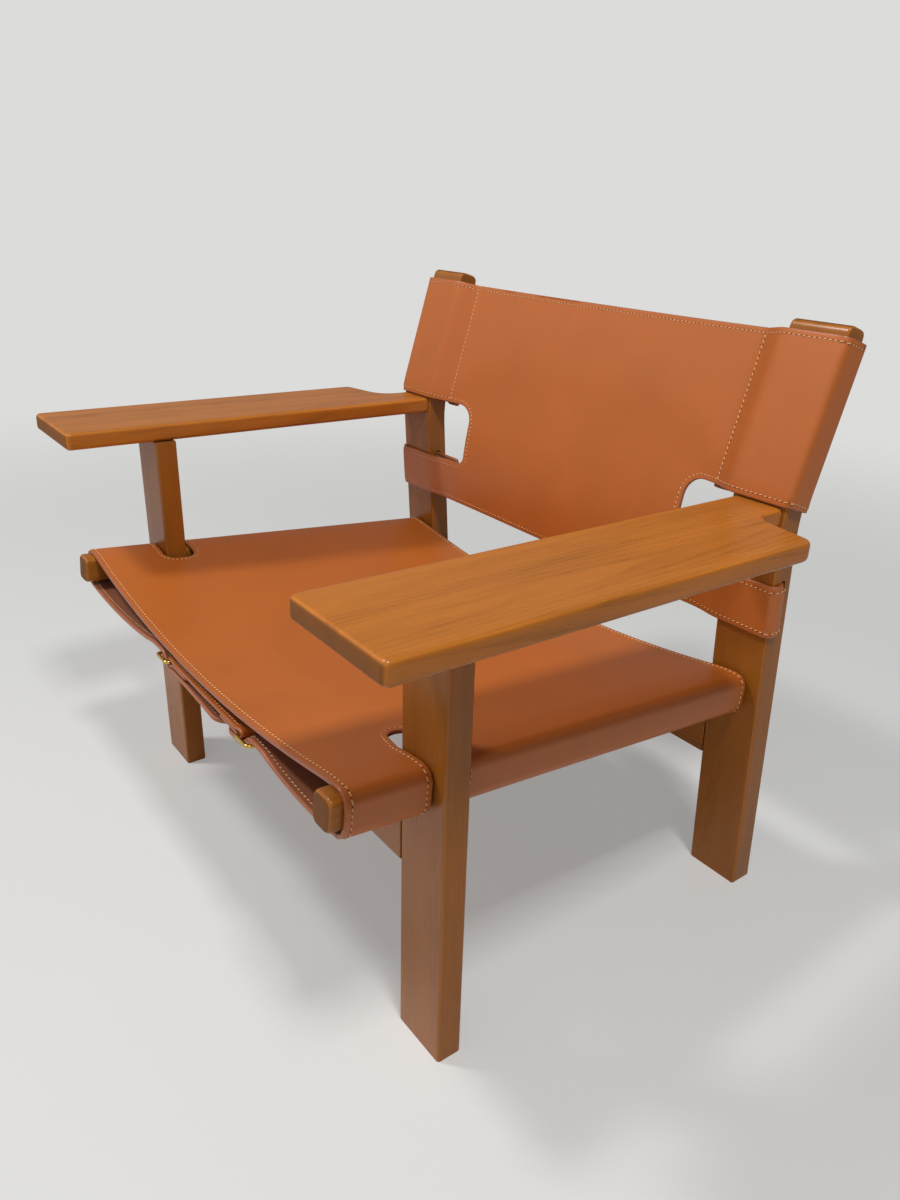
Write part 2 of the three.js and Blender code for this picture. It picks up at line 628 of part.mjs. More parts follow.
// Depth of the back panel behind the posts' front faces: forward where the tongues hold it, and half way
// into the posts where the sleeves do
function panelDepth(x, height) {
  const t = THREE.MathUtils.smoothstep(height, TONGUE_TOP, SLEEVE_BOTTOM);
  const edge = THREE.MathUtils.lerp(TONGUE_DEPTH, SLEEVE_DEPTH, t);
  const sag = THREE.MathUtils.lerp(TONGUE_SAG, BACK_SAG, t);
  return edge + sag * (1 - (x / SEAM_X) ** 2);
}

const POST_WRAP = LEG_EDGE + HIDE_OFFSET;
const WRAP_INNER_X = LEG_INNER_X + HIDE_GAP;
const WRAP_OUTER_X = LEG_INNER_X + LEG_WIDTH - LEG_EDGE;

// Places between two others, along a smooth swing from the depth of one to that of the other
function swingPoints([fromX, fromDepth], [toX, toDepth], steps) {
  const points = [];
  for (let k = 1; k < steps; k += 1) {
    const t = k / steps;
    const swing = THREE.MathUtils.smoothstep(t, 0, 1);
    points.push([THREE.MathUtils.lerp(fromX, toX, t), THREE.MathUtils.lerp(fromDepth, toDepth, swing)]);
  }
  return points;
}

// Section of a sleeve from the seam round the post and back to the seam, in x and depth
function sleeveSection() {
  const seam = SLEEVE_DEPTH + HIDE + SEAM_CLEAR;
  const front = [WRAP_INNER_X, -HIDE_OFFSET];
  const rear = [WRAP_INNER_X, POST_DEPTH + HIDE_OFFSET + SLEEVE_SLACK];
  const join = [SEAM_X + SEAM_LEAD, seam];
  return [
    ...swingPoints([SEAM_X, SLEEVE_DEPTH], front, 3),
    front,
    ...arcPoints(WRAP_OUTER_X, LEG_EDGE, POST_WRAP, -90, 0, 3),
    ...arcPoints(WRAP_OUTER_X, POST_DEPTH - LEG_EDGE + SLEEVE_SLACK, POST_WRAP, 0, 90, 3),
    rear,
    ...swingPoints(rear, join, 3),
    join,
    [SEAM_X - SEAM_ALLOWANCE, seam],
  ];
}

// Section of a tongue from the panel round the post, in through its slot and on to the strap tip
function tongueSection() {
  const turnX = LEG_INNER_X + LEG_WIDTH + HIDE_OFFSET - TONGUE_TURN;
  const heel = BACK_BUCKLE_X - BUCKLE_PITCH / 2;
  const tab = buckleWay(BACK_TIP_X - heel, TIP_DROP).map(([d, h]) => [heel + d, BACK_BELT_DEPTH - h]);
  const front = [WRAP_INNER_X, -HIDE_OFFSET];
  const root = [BACK_TAB_ROOT_X, SLEEVE_DEPTH];
  return [
    ...swingPoints([SEAM_X, TONGUE_DEPTH], front, 2),
    front,
    ...arcPoints(WRAP_OUTER_X, LEG_EDGE, POST_WRAP, -90, 0, 3),
    ...arcPoints(turnX, SLEEVE_DEPTH - TONGUE_TURN, TONGUE_TURN, 0, 90, 4),
    [LEG_X, SLEEVE_DEPTH],
    [LEG_INNER_X, SLEEVE_DEPTH],
    root,
    ...swingPoints(root, tab[0], 2),
    ...tab,
  ];
}

// Opening for an armrest between a sleeve and a tongue, seen from the front
function notchOutline(side) {
  const top = postFace(SLEEVE_BOTTOM).point.y;
  const bottom = postFace(TONGUE_TOP).point.y;
  const x = (value) => side * value;
  const outline = new THREE.Shape();
  outline.moveTo(x(ARM_OUTER_X), bottom);
  outline.lineTo(x(ARM_OUTER_X), top);
  outline.lineTo(x(NOTCH_X + NOTCH_ROUND_TOP), top);
  outline.quadraticCurveTo(x(NOTCH_X), top, x(NOTCH_X), top - NOTCH_ROUND_TOP);
  outline.lineTo(x(NOTCH_X), bottom + NOTCH_ROUND_BOTTOM);
  outline.quadraticCurveTo(x(NOTCH_X), bottom, x(NOTCH_X + NOTCH_ROUND_BOTTOM), bottom);
  return outline;
}

function buildBackSling() {
  const trim = HIDE;
  const tongueRow = TONGUE_TOP + trim;
  const sleeveRow = SLEEVE_BOTTOM - trim;
  const heights = [
    TONGUE_BOTTOM,
    TONGUE_MIDDLE,
    tongueRow,
    THREE.MathUtils.lerp(tongueRow, sleeveRow, 1 / 3),
    THREE.MathUtils.lerp(tongueRow, sleeveRow, 2 / 3),
    sleeveRow,
    (sleeveRow + POST_BEND_EASE) / 2,
    POST_BEND_EASE,
    (POST_BEND_EASE + BACK_TOP) / 2,
    BACK_TOP,
  ];
  const sleeve = sleeveSection();
  const tongue = tongueSection();
  const length = Math.max(sleeve.length, tongue.length);
  const rows = heights.map((height) => {
    const panel = [];
    for (let k = -6; k <= 6; k += 1) {
      const x = (SEAM_X * k) / 6;
      panel.push(postPoint(x, height, panelDepth(x, height)));
    }
    let section = [];
    if (height <= tongueRow) section = tongue;
    if (height >= sleeveRow) section = sleeve;
    const left = [];
    const right = [];
    for (let k = 0; k < length; k += 1) {
      const place = section[k];
      left.push(place ? postPoint(place[0], height, place[1]) : null);
      right.push(place ? postPoint(-place[0], height, place[1]) : null);
    }
    return [...right.reverse(), ...panel, ...left];
  });
  const cuts = [];
  const upright = axes(new THREE.Vector3(), X_AXIS, Z_AXIS, Y_AXIS.clone().negate());
  for (const side of [1, -1]) {
    cuts.push(prism(notchOutline(side), -1.5 * POST_BEND_Y, 0, upright));
  }
  const belt = postFrame(0, TONGUE_MIDDLE, BACK_BELT_DEPTH);
  const waste = TONGUE_TOP - TONGUE_BOTTOM - TAB_WIDTH;
  for (const up of [1, -1]) {
    const strip = roundedRect(2 * BACK_TAB_ROOT_X, waste, BACK_TAB_ROOT_ROUND);
    const place = shift(0, up * (TAB_WIDTH + waste) / 2, 0);
    cuts.push(prism(strip, -BACK_BELT_DEPTH, BACK_BELT_DEPTH / 2, belt.clone().multiply(place)));
  }
  const heel = BACK_BUCKLE_X - BUCKLE_PITCH / 2;
  cuts.push(...tabCuts(belt, 1, heel, BACK_TIP_X));
  cuts.push(...tabCuts(belt, -1, -heel, -BACK_TIP_X));
  add('back_sling', cutAll(hideSheet(rows), cuts), 'hide');
  return belt;
}

// A belt in its own frame, x across the chair, y along its width, z away from the face of the buckles. The
// strap is folded round the heel bar of a buckle at each end and sewn back on itself.
function buildBelt(label, frame, leftX, rightX) {
  const half = BUCKLE_PITCH / 2;
  const heelLeft = leftX - half;
  const heelRight = rightX + half;
  const acrossY = axes(new THREE.Vector3(0, TAB_WIDTH / 2, 0), X_AXIS, Z_AXIS, Y_AXIS.clone().negate());
  const profile = new THREE.Shape();
  profile.moveTo(heelRight, BELT_PLY);
  profile.lineTo(heelRight, -BELT_PLY);
  profile.lineTo(heelRight + BELT_FOLD, -BELT_PLY);
  profile.lineTo(heelRight + BELT_FOLD, 0);
  profile.lineTo(heelLeft - BELT_FOLD, 0);
  profile.lineTo(heelLeft - BELT_FOLD, -BELT_PLY);
  profile.lineTo(heelLeft, -BELT_PLY);
  profile.lineTo(heelLeft, BELT_PLY);
  let strap = prism(profile, 0, TAB_WIDTH, frame.clone().multiply(acrossY));
  const buckles = [['left', 1, leftX, heelLeft], ['right', -1, rightX, heelRight]];
  const eye = EYE_BORE + BELT_PLY;
  for (const [, side, , heelX] of buckles) {
    const fold = new THREE.CylinderGeometry(eye, eye, TAB_WIDTH, 12);
    const bore = new THREE.CylinderGeometry(EYE_BORE, EYE_BORE, 2 * TAB_WIDTH, 12);
    const place = frame.clone().multiply(shift(heelX, 0, 0));
    const slot = box(EYE_SLOT_LENGTH, PRONG_SLOT_WIDTH, 4 * eye);
    strap = strap.add(solid(fold, place))
      .subtract(solid(bore, place))
      .subtract(solid(slot, place.clone().multiply(shift(side, 0, 0))));
  }
  add(`belt_strap_${label}`, strap, 'hide');

  for (const [hand, side, x, heelX] of buckles) {
    const inner = TAB_WIDTH + 2 * BUCKLE_CLEAR;
    const plate = roundedRect(BUCKLE_PITCH + BUCKLE_ROD, inner + 2 * BUCKLE_ROD, BUCKLE_ROUND);
    plate.holes.push(roundedRect(BUCKLE_PITCH - BUCKLE_ROD, inner, BUCKLE_INNER_ROUND));
    const ring = roundedPlate(plate, BUCKLE_ROD, BUCKLE_BEVEL, 1, 1);
    add(
      `buckle_frame_${label}_${hand}`,
      solid(ring, frame.clone().multiply(shift(x, 0, -BUCKLE_ROD / 2))),
      'brass',
    );
    const turn = new THREE.Matrix4().makeRotationZ(side > 0 ? 0 : Math.PI);
    const pivot = frame.clone().multiply(shift(heelX, 0, 0)).multiply(turn);
    add(`buckle_prong_${label}_${hand}`, prong(pivot), 'brass');
  }
}

// A prong in the frame of its heel bar, its point towards +x and resting on the face of the front bar
function prong(pivot) {
  const ring = new THREE.Shape();
  ring.absarc(0, 0, PRONG_RING, 0, Math.PI * 2);
  const bore = new THREE.Path();
  bore.absarc(0, 0, EYE_BORE, 0, Math.PI * 2);
  ring.holes.push(bore);
  const acrossY = axes(new THREE.Vector3(0, PRONG_WIDTH / 2, 0), X_AXIS, Z_AXIS, Y_AXIS.clone().negate());
  const loop = prism(ring, 0, PRONG_WIDTH, pivot.clone().multiply(acrossY), 5);
  const root = (EYE_BORE + PRONG_RING) / 2;
  const rod = bar(PRONG_ROD, PRONG_ROD, PRONG_ROD / 3, PRONG_LENGTH - root);
  const along = axes(new THREE.Vector3(root, 0, 0), Y_AXIS, Z_AXIS, X_AXIS);
  const lean = new THREE.Matrix4().makeRotationY(PRONG_REST);
  return loop.add(solid(rod, pivot.clone().multiply(lean).multiply(along)));
}

buildFrame(1, 'left');
buildFrame(-1, 'right');
stretcher(frontStretcher, 'front_stretcher');
stretcher(rearStretcher, 'rear_stretcher');
buildSeatSling();
for (const [label, v] of Object.entries(SEAT_BELTS)) {
  buildBelt(label, seatFrame(0, v, SEAT_BELT_DROP), SEAT_BUCKLE_LEFT, SEAT_BUCKLE_RIGHT);
}
buildBelt('back', buildBackSling(), BACK_BUCKLE_X, -BACK_BUCKLE_X);

export default chair;
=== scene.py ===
"""Leather sling lounge chair: finishes its wooden frame and makes its slings, belts, buckles and stitching.

Lengths are in millimetres until a mesh is made, and a sheet of hide is drawn as a flat pattern first: its
outline and holes are laid out in the plane, filled with triangles, and then put in space by a function that
knows how the hide hangs.
"""

import json
import math

import bpy
import numpy as np
from mathutils import Euler, Matrix, Vector
from mathutils.geometry import delaunay_2d_cdt


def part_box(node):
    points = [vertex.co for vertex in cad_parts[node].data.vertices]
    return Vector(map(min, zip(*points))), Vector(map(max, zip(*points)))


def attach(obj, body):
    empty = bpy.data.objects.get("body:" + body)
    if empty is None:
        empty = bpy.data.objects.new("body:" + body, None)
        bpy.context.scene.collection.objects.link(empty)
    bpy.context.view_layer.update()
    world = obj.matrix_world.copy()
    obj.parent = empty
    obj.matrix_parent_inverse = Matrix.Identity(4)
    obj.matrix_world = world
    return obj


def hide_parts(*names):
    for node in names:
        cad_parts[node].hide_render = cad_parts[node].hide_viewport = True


bl_info = {
    "name": "Leather sling lounge chair",
    "version": (1, 0, 0),
    "blender": (4, 5, 0),
    "location": "View3D > Sidebar > Sling Chair",
    "description": "Finishes the frame of a sling chair and makes its leather, stitching and brass",
    "category": "Add Mesh",
}

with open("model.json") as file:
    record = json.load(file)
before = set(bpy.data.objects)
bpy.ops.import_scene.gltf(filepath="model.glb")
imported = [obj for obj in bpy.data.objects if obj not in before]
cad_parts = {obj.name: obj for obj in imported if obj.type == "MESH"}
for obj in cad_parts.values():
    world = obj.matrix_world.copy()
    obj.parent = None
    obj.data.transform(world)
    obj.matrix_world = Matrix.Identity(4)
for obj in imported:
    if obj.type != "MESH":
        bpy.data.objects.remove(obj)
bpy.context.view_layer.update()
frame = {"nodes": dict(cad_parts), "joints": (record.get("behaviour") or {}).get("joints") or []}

MM = 0.001
ROOT_BODY = "chair"
SEAT_BELTS = ("front", "middle", "rear")
BELTS = (*SEAT_BELTS, "back")
SIDES = {"left": 1, "right": -1}
JOINTS = {joint["name"]: joint for joint in frame["joints"]}

# Places read from the frame. The rear posts stand as far out as the front legs
RAIL_OUTER = (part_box("seat_rail_left")[1] / MM).x
LEG_INNER, LEG_OUTER = ((corner / MM).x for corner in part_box("front_leg_left"))
SEAT_ALONG = Vector(JOINTS["prong_front_left_swing"]["axis"])
SEAT_UP = Vector((1, 0, 0)).cross(SEAT_ALONG)

# The rails' front ends, from the front belt that lies behind and below them
FRONT_BELT_BACK = 31
SEAT_BELT_DROP = 38
FRONT_HEEL = Vector((0, *JOINTS["prong_front_left_swing"]["pos_m"][1:])) / MM
SEAT_ORIGIN = FRONT_HEEL - SEAT_ALONG * FRONT_BELT_BACK + SEAT_UP * SEAT_BELT_DROP
RAIL_ROUND = 8

# Rear posts: their front faces bend at the armrests
POST_BEND = Vector((216.6, 479))
POST_LEAN = math.radians(3.76)
POST_RECLINE = math.radians(17.1)
POST_BEND_EASE = 30
POST_DEPTH = 30
POST_EDGE = 3

# Outlines: the fewest steps of a corner's arc, the widest turn of one, and the shortest edge that is kept
CORNER_STEPS = 3
CORNER_TURN = math.radians(15)
SHORTEST_EDGE = 0.05

# The longest edges in the outlines of slings, leg notches, belts and slots
OUTLINE_STEP = 8
NOTCH_STEP = 6
BELT_STEP = 6
SLOT_STEP = 2

# Hide: the slack between it and the wood, its burnished edge, and the rows of points behind that
HIDE_GAP = 0.5
EDGE_ROUND = 1.4
EDGE_STEPS = 6
EDGE_POWER = 0.7
EDGE_GUARD = 2
EDGE_CLEAR = 5
GRAIN, EDGE, FLESH = range(3)

# Stitches: the share of the pitch that shows, how far they slant, and half the size of a pricked hole, whose
# hollow is painted as a dark disc of shade
STITCH_SHARE = 0.7
STITCH_SLANT = 0.8
STITCH_SIDES = 6
PRICK_HALF_WIDTH = 0.68
PRICK_HALF_LENGTH = 0.9
PRICK_LIFT = 0.05
# Kinds of stitch faces: thread, and the dark disc of painted shade at each hole
THREAD, HOLE_SHADE = range(2)

# A stitch along its length: the share passed, and its thickness and height as shares of the thread's radius
STITCH_PROFILE = ((0.0, 0.3, -0.5), (0.2, 0.9, 0.25), (0.5, 1.0, 0.55), (0.8, 0.9, 0.25), (1.0, 0.3, -0.5))

# Seat sling, in the sloped frame of the rails
SEAT_FRONT = 12
SEAT_REAR = 523
SEAT_SPAN = 298
SPAN_ROUND = 16
WRAP_BOTTOM_ROUND = 12.5
WRAP_SIDE_DEPTH = 27.5
LEG_NOTCH_X = {"left": 240, "right": -268}
LEG_NOTCH_FRONT_Y = -200
LEG_NOTCH_SLANT = 9
LEG_NOTCH_REAR_Y = {"left": -166.5, "right": -160}
LEG_NOTCH_ROUND = 14
FLAP_END = {"left": 225, "right": -175}
FLAP_DROOP = {"left": 5, "right": 7}
FLAP_ROUND = 14
SEAT_TIP = {"left": 95, "right": 85}
TIP_DROP = {"left": 1, "right": 6}

# Straps: points from the frame to the buckle, through the buckle, and on to the tip
SEAT_STRAP_COUNTS = (20, 32, 14)
BACK_STRAP_COUNTS = (18, 32, 6)
TAB_WIDTH = 38
STRAP_GAP = 0.3
STRAP_LEAD = 16
STRAP_PASS = 4

# Belts: their plies, which part at distances from the heel bar, their corners and their rows of stitches
BELT_PLY = 3
BELT_PLY_SLACK = 0.05
BELT_FOLD = 45
BELT_PART = 15
BELT_PART_CORNER = 8
BELT_PART_END = 4
BELT_PART_RISE = 0.78
BELT_EYE_TURN = 120
BELT_CORNER = 3
BELT_STITCH_INSET = 5
BELT_STITCH_CLEAR = 8

# Buckles and prongs, with the exponents that make round sections squarer
BUCKLE_PITCH = 26
BUCKLE_ROD = 4
BUCKLE_CLEAR = 1.5
BUCKLE_ROUND = 4
BUCKLE_STEP = 4
BUCKLE_SIDES = 12
ROD_POWER = 0.75
EYE_BORE = 2.7
EYE_SLOT_LENGTH = 16
PRONG_SLOT = (3.65, 19.15)
PRONG_SLOT_WIDTH = 5.2
PRONG_RING = 4.2
PRONG_RING_STEPS = 28
PRONG_BAND_POWER = 0.7
PRONG_SIDES = 10
PRONG_WIDTH = 4
PRONG_ROD = 3
PRONG_TIP = 2.2 / PRONG_ROD
PRONG_LENGTH = 29
PRONG_REST = math.radians(9)

# A prong beyond its ring: distances from the heel bar and thicknesses as shares of its rod
PRONG_PROFILE = (
    (EYE_BORE + 0.3, 0.9),
    (PRONG_RING + 1.5, 1),
    (PRONG_LENGTH * 0.6, 1),
    (PRONG_LENGTH * 0.9, PRONG_TIP),
    (PRONG_LENGTH - 0.8, PRONG_TIP * 0.85),
    (PRONG_LENGTH - 0.15, PRONG_TIP * 0.5),
)

# Strap tips and slots are half round: the arcs of two corners all but meet
TIP_ROUND = 0.99 * TAB_WIDTH / 2
SLOT_ROUND = 0.98 * PRONG_SLOT_WIDTH / 2

# Back sling: heights run along the posts from the bend, depths behind their front faces
BACK_TOP = 178
BACK_TOP_TILT = 1.5
BACK_TOP_CROWN = 1.5
BACK_TOP_SWEEP = 15000
BACK_BELLY = 5
BACK_BELLY_SWEEP = 5000
BACK_LOWER_SWEEP = 1500
PANEL_BEND_EASE = 110
PANEL_BEND_POWER = 6
PANEL_SLACK = 60
PANEL_SLACK_POWER = 4
SLEEVE_BOTTOM = 8
SLEEVE_REAR_BOTTOM = 3
SLEEVE_DEPTH = 15
SLEEVE_SLACK = 0.3
SLEEVE_TURN = 0.72
SLEEVE_CORNER = 8
SEAM_X = 245
SEAM_ALLOWANCE = 10
SEAM_LEAD = 4
SEAM_CLEAR = 1.3
SEAM_STITCH_INSET = 1
SEAM_CORNER = 2
TONGUE_TOP = -78
TONGUE_BOTTOM = -138
TONGUE_MIDDLE = (TONGUE_TOP + TONGUE_BOTTOM) / 2
TONGUE_DEPTH = 1.5
TONGUE_SAG = 5
TONGUE_TURN = 3.75
NOTCH_X = 199
NOTCH_ROUND_TOP = 25
NOTCH_ROUND_BOTTOM = 12
BACK_BELT_DEPTH = 22
BACK_TIP_X = 22
BACK_TAB_ROOT_X = 225
BACK_TAB_ROOT_ROUND = 7
BACK_TAB_CORNER = 4
NARROWEST_COLUMN = 0.9

# Boards: the colour of their wood, the way of the grain, a point of the pith line on the left side, the
# degrees by which that is out of line, and how strongly the rings show
PAIRED_BOARDS = {
    "armrest": ("arm_wood", "y", (365, 0, 455), 24, 0.55),
    "front_leg": ("frame_wood", "z", (300, -110, 0), 8, 0.1),
    "rear_post": ("frame_wood", "z", (325, 335, 0), 8, 0.1),
    "seat_rail": ("frame_wood", "y", (285, 0, 280), 6, 0.12),
}
SINGLE_BOARDS = {
    "front_stretcher": ("frame_wood", "x", (0, -150, 150), 8, 0.15),
    "rear_stretcher": ("frame_wood", "x", (0, 300, 130), 8, 0.15),
}

# Their edges, which are eased where two faces meet more sharply than the least turn
WELD_GAP = 0.01
FLAT_TURN = math.radians(0.5)
EASED_EDGE = 1.2
EASED_SEGMENTS = 2
EASED_LEAST_TURN = math.radians(50)

# Which way the grain of a board runs, as the turn that lays it along the texture's Z
GRAIN_TURNS = {"x": (0, math.radians(-90), 0), "y": (math.radians(90), 0, 0), "z": (0, 0, 0)}

# How much the figure and the fibres are squeezed along the grain, and the share of its tilt by which the pith
# line also leans the other way
FIGURE_SQUEEZE = 0.1
FIBRE_SQUEEZE = 0.02
CROSS_LEAN = 0.4

# Tone of one growth ring, from the open pores of its early wood, which hold the stain, to its clear late wood
RING_TONES = ((0, 1), (0.14, 0.8), (0.45, 0.15), (0.93, 0), (1, 0.7))

# The colour inputs of a Mix node, by number because their names repeat
MIX_A, MIX_B = 6, 7

# The strip of light in front: where it fades in along each axis of the direction to it
STRIP_EDGES = (("Y", -0.05, -0.4), ("Z", 0.05, 0.3), ("Z", 0.7, 0.45))

# Reflections show the backdrop dimly, so that the wood and the leather keep their depth
MIRRORED_SHARE = 0.25

# The floor, which shows some of the backdrop even near the chair, so that shadows on it stay pale
FLOOR_HALF = 15000
FLOOR_FADE_FROM = 800
FLOOR_FADE_TO = 2800
FLOOR_FADE_LEAST = 0.35

# The lamps: where they hang, and the setting that gives their power
LAMP_SIZE = 400
LAMPS = {
    "key_light": ((1350, -450, 3000), "key_power"),
    "second_light": ((-1000, -1250, 2800), "second_power"),
}

# The photograph's camera, in the frame of the chair
CAMERA_PLACE = (852.4, -585.0, 768.9)
CAMERA_YAW = math.radians(52.9)
CAMERA_PITCH = math.radians(-23.74)
CAMERA_ROLL = math.radians(1.66)
CAMERA_LENS = 27.95


def linear(hex_colour):
    """An sRGB hex value as linear red, green, blue and alpha."""
    channels = [int(hex_colour[k:k + 2], 16) / 255 for k in (1, 3, 5)]
    return (*(c / 12.92 if c <= 0.04045 else ((c + 0.055) / 1.055) ** 2.4 for c in channels), 1.0)


class ChairSizes(bpy.types.PropertyGroup):
    """Sizes that a maker would change."""

    hide: bpy.props.FloatProperty(
        name="Hide", description="Thickness of the sling leather", default=4.5 * MM, unit="LENGTH"
    )
    seat_sag: bpy.props.FloatVectorProperty(
        name="Seat sag",
        description="How far the seat hangs below its rails at the front, middle and rear",
        default=(28 * MM, 30 * MM, 26 * MM),
        unit="LENGTH",
    )
    back_sag: bpy.props.FloatProperty(
        name="Back sag", description="How far the back hangs behind its seams", default=10 * MM, unit="LENGTH"
    )
    stitch_pitch: bpy.props.FloatProperty(
        name="Stitch pitch", description="From one stitch to the next", default=5.8 * MM, unit="LENGTH"
    )
    stitch_inset: bpy.props.FloatProperty(
        name="Stitch inset",
        description="From the edge of the hide to its stitching",
        default=6 * MM,
        unit="LENGTH",
    )
    thread: bpy.props.FloatProperty(
        name="Thread", description="Diameter of the thread", default=0.85 * MM, unit="LENGTH"
    )


class ChairColours(bpy.types.PropertyGroup):
    """Colours that a maker would change."""

    hide: bpy.props.FloatVectorProperty(
        name="Hide",
        description="Grain side of the leather",
        default=linear("#B5601F"),
        subtype="COLOR",
        size=4,
    )
    hide_edge: bpy.props.FloatVectorProperty(
        name="Edge paint", description="Painted edges", default=linear("#A25A34"), subtype="COLOR", size=4
    )
    hide_flesh: bpy.props.FloatVectorProperty(
        name="Flesh side",
        description="Inner side of the hide",
        default=linear("#94512B"),
        subtype="COLOR",
        size=4,
    )
    thread: bpy.props.FloatVectorProperty(
        name="Thread", description="Waxed thread", default=linear("#F0C08C"), subtype="COLOR", size=4
    )
    arm_wood: bpy.props.FloatVectorProperty(
        name="Armrests",
        description="Early wood of the armrests",
        default=linear("#B26922"),
        subtype="COLOR",
        size=4,
    )
    frame_wood: bpy.props.FloatVectorProperty(
        name="Frame",
        description="Early wood of legs and rails",
        default=linear("#985A1C"),
        subtype="COLOR",
        size=4,
    )
    brass: bpy.props.FloatVectorProperty(
        name="Brass", description="Buckles and prongs", default=linear("#D8B25A"), subtype="COLOR", size=4
    )


class ChairStage(bpy.types.PropertyGroup):
    """The floor, the backdrop and the lights round the chair."""

    floor: bpy.props.FloatVectorProperty(
        name="Floor", description="Colour of the floor", default=linear("#E4E4E2"), subtype="COLOR", size=4
    )
    backdrop: bpy.props.FloatVectorProperty(
        name="Backdrop",
        description="Colour of the backdrop",
        default=linear("#DCDCDA"),
        subtype="COLOR",
        size=4,
    )
    key_power: bpy.props.FloatProperty(
        name="Key light", description="Power of the light on the sitter's left", default=47, unit="POWER"
    )
    second_power: bpy.props.FloatProperty(
        name="Second light", description="Power of the light on the sitter's right", default=40, unit="POWER"
    )
    ambient: bpy.props.FloatProperty(name="Ambient", description="Light from all round", default=0.1)
    strip: bpy.props.FloatProperty(name="Strip", description="Light of a long strip in front", default=0.75)


def sizes():
    return bpy.context.scene.sling_chair_sizes


def colours():
    return bpy.context.scene.sling_chair_colours


def stage_settings():
    return bpy.context.scene.sling_chair_stage


# Materials


def add_node(tree, kind, inputs=None, **settings):
    """Adds a node with its settings.

    An input gets a value, or a link from a socket, or one from the first output that a node has in use.
    """
    node = tree.nodes.new(f"ShaderNode{kind}")
    for name, value in settings.items():
        setattr(node, name, value)
    for key, value in (inputs or {}).items():
        if isinstance(value, bpy.types.Node):
            value = next(output for output in value.outputs if output.enabled)
        if isinstance(value, bpy.types.NodeSocket):
            tree.links.new(value, node.inputs[key])
        else:
            node.inputs[key].default_value = value
    return node


def new_material(name):
    """An empty node material, and the tree to build it in."""
    material = bpy.data.materials.new(name)
    material.use_nodes = True
    material.node_tree.nodes.clear()
    return material, material.node_tree


def shade(colour, factor):
    """A colour made lighter or darker."""
    return (*(min(1.0, c * factor) for c in colour[:3]), 1.0)


def mottle(tree, base, patch_mm, dark, light, detail=3.0):
    """A colour in soft patches of a size, from darker to lighter, and the pattern that they follow."""
    place = add_node(tree, "TexCoord").outputs["Object"]
    pattern = add_node(tree, "TexNoise", {"Vector": place, "Scale": 1 / (patch_mm * MM), "Detail": detail})
    tones = {"Factor": pattern, MIX_A: shade(base, dark), MIX_B: shade(base, light)}
    return add_node(tree, "Mix", tones, data_type="RGBA"), pattern


def saddle_leather():
    """Vegetable-tanned hide, drum dyed and waxed: even colour with faint clouds, fine pores, a soft sheen."""
    material, tree = new_material("waxed_saddle_leather")
    # Real pores are about 0.3 mm apart, too fine to show, so they are drawn four times as coarse
    cloud_mm, pore_mm = 80, 1.3
    tone, cloud = mottle(tree, colours().hide, cloud_mm, 0.9, 1.1)
    place = add_node(tree, "TexCoord").outputs["Object"]
    pores = add_node(tree, "TexVoronoi", {"Vector": place, "Scale": 1 / (pore_mm * MM)})
    pits = add_node(tree, "MapRange", {"Value": pores, "From Max": 0.6, "To Min": 0.93, "To Max": 1.0})
    pitted = {"Factor": 1.0, MIX_A: tone, MIX_B: pits}
    shader = add_node(
        tree,
        "BsdfPrincipled",
        {
            "Base Color": add_node(tree, "Mix", pitted, data_type="RGBA", blend_type="MULTIPLY"),
            "Roughness": add_node(tree, "MapRange", {"Value": cloud, "To Min": 0.38, "To Max": 0.52}),
            "Normal": add_node(tree, "Bump", {"Height": pores, "Strength": 0.12, "Distance": 0.15 * MM}),
            "IOR": 1.5,
            "Specular IOR Level": 0.55,
        },
    )
    add_node(tree, "OutputMaterial", {"Surface": shader})
    return material


def edge_paint():
    """Burnished and painted hide edge: smoother and redder than the grain, with faint fibres along it."""
    material, tree = new_material("burnished_hide_edge")
    fibre_mm = 2.5
    tone, fibre = mottle(tree, colours().hide_edge, fibre_mm, 0.8, 1.2)
    bump = add_node(tree, "Bump", {"Height": fibre, "Strength": 0.15, "Distance": 0.2 * MM})
    finish = {"Base Color": tone, "Roughness": 0.34, "Normal": bump, "IOR": 1.5}
    add_node(tree, "OutputMaterial", {"Surface": add_node(tree, "BsdfPrincipled", finish)})
    return material


def flesh_side():
    """Inner side of the hide, shaved and dyed: dull, with a short nap of loose fibres."""
    material, tree = new_material("shaved_hide_flesh_side")
    nap_mm, cloud_mm = 1.2, 40
    tone, _ = mottle(tree, colours().hide_flesh, cloud_mm, 0.8, 1.25)
    nap_tone, nap = mottle(tree, linear("#FFFFFF"), nap_mm, 0.7, 1.0, detail=4.0)
    napped = {"Factor": 1.0, MIX_A: tone, MIX_B: nap_tone}
    finish = {
        "Base Color": add_node(tree, "Mix", napped, data_type="RGBA", blend_type="MULTIPLY"),
        "Roughness": 0.85,
        "Normal": add_node(tree, "Bump", {"Height": nap, "Strength": 0.3, "Distance": 0.3 * MM}),
        "Sheen Weight": 0.1,
        "IOR": 1.5,
    }
    add_node(tree, "OutputMaterial", {"Surface": add_node(tree, "BsdfPrincipled", finish)})
    return material


def hide_materials():
    """Grain side, edge and flesh side of a hide, in the order of the kinds of its faces."""
    return [saddle_leather(), edge_paint(), flesh_side()]


def waxed_thread():
    """Braided polyester thread, waxed: pale and slightly glossy, flecked where its strands cross."""
    material, tree = new_material("waxed_polyester_thread")
    # Real strands cross every 0.3 mm or so, too fine to show, so the flecks are drawn coarser
    braid_mm = 0.8
    tone, _ = mottle(tree, colours().thread, braid_mm, 0.75, 1.15)
    finish = {"Base Color": tone, "Roughness": 0.5, "IOR": 1.5}
    add_node(tree, "OutputMaterial", {"Surface": add_node(tree, "BsdfPrincipled", finish)})
    return material


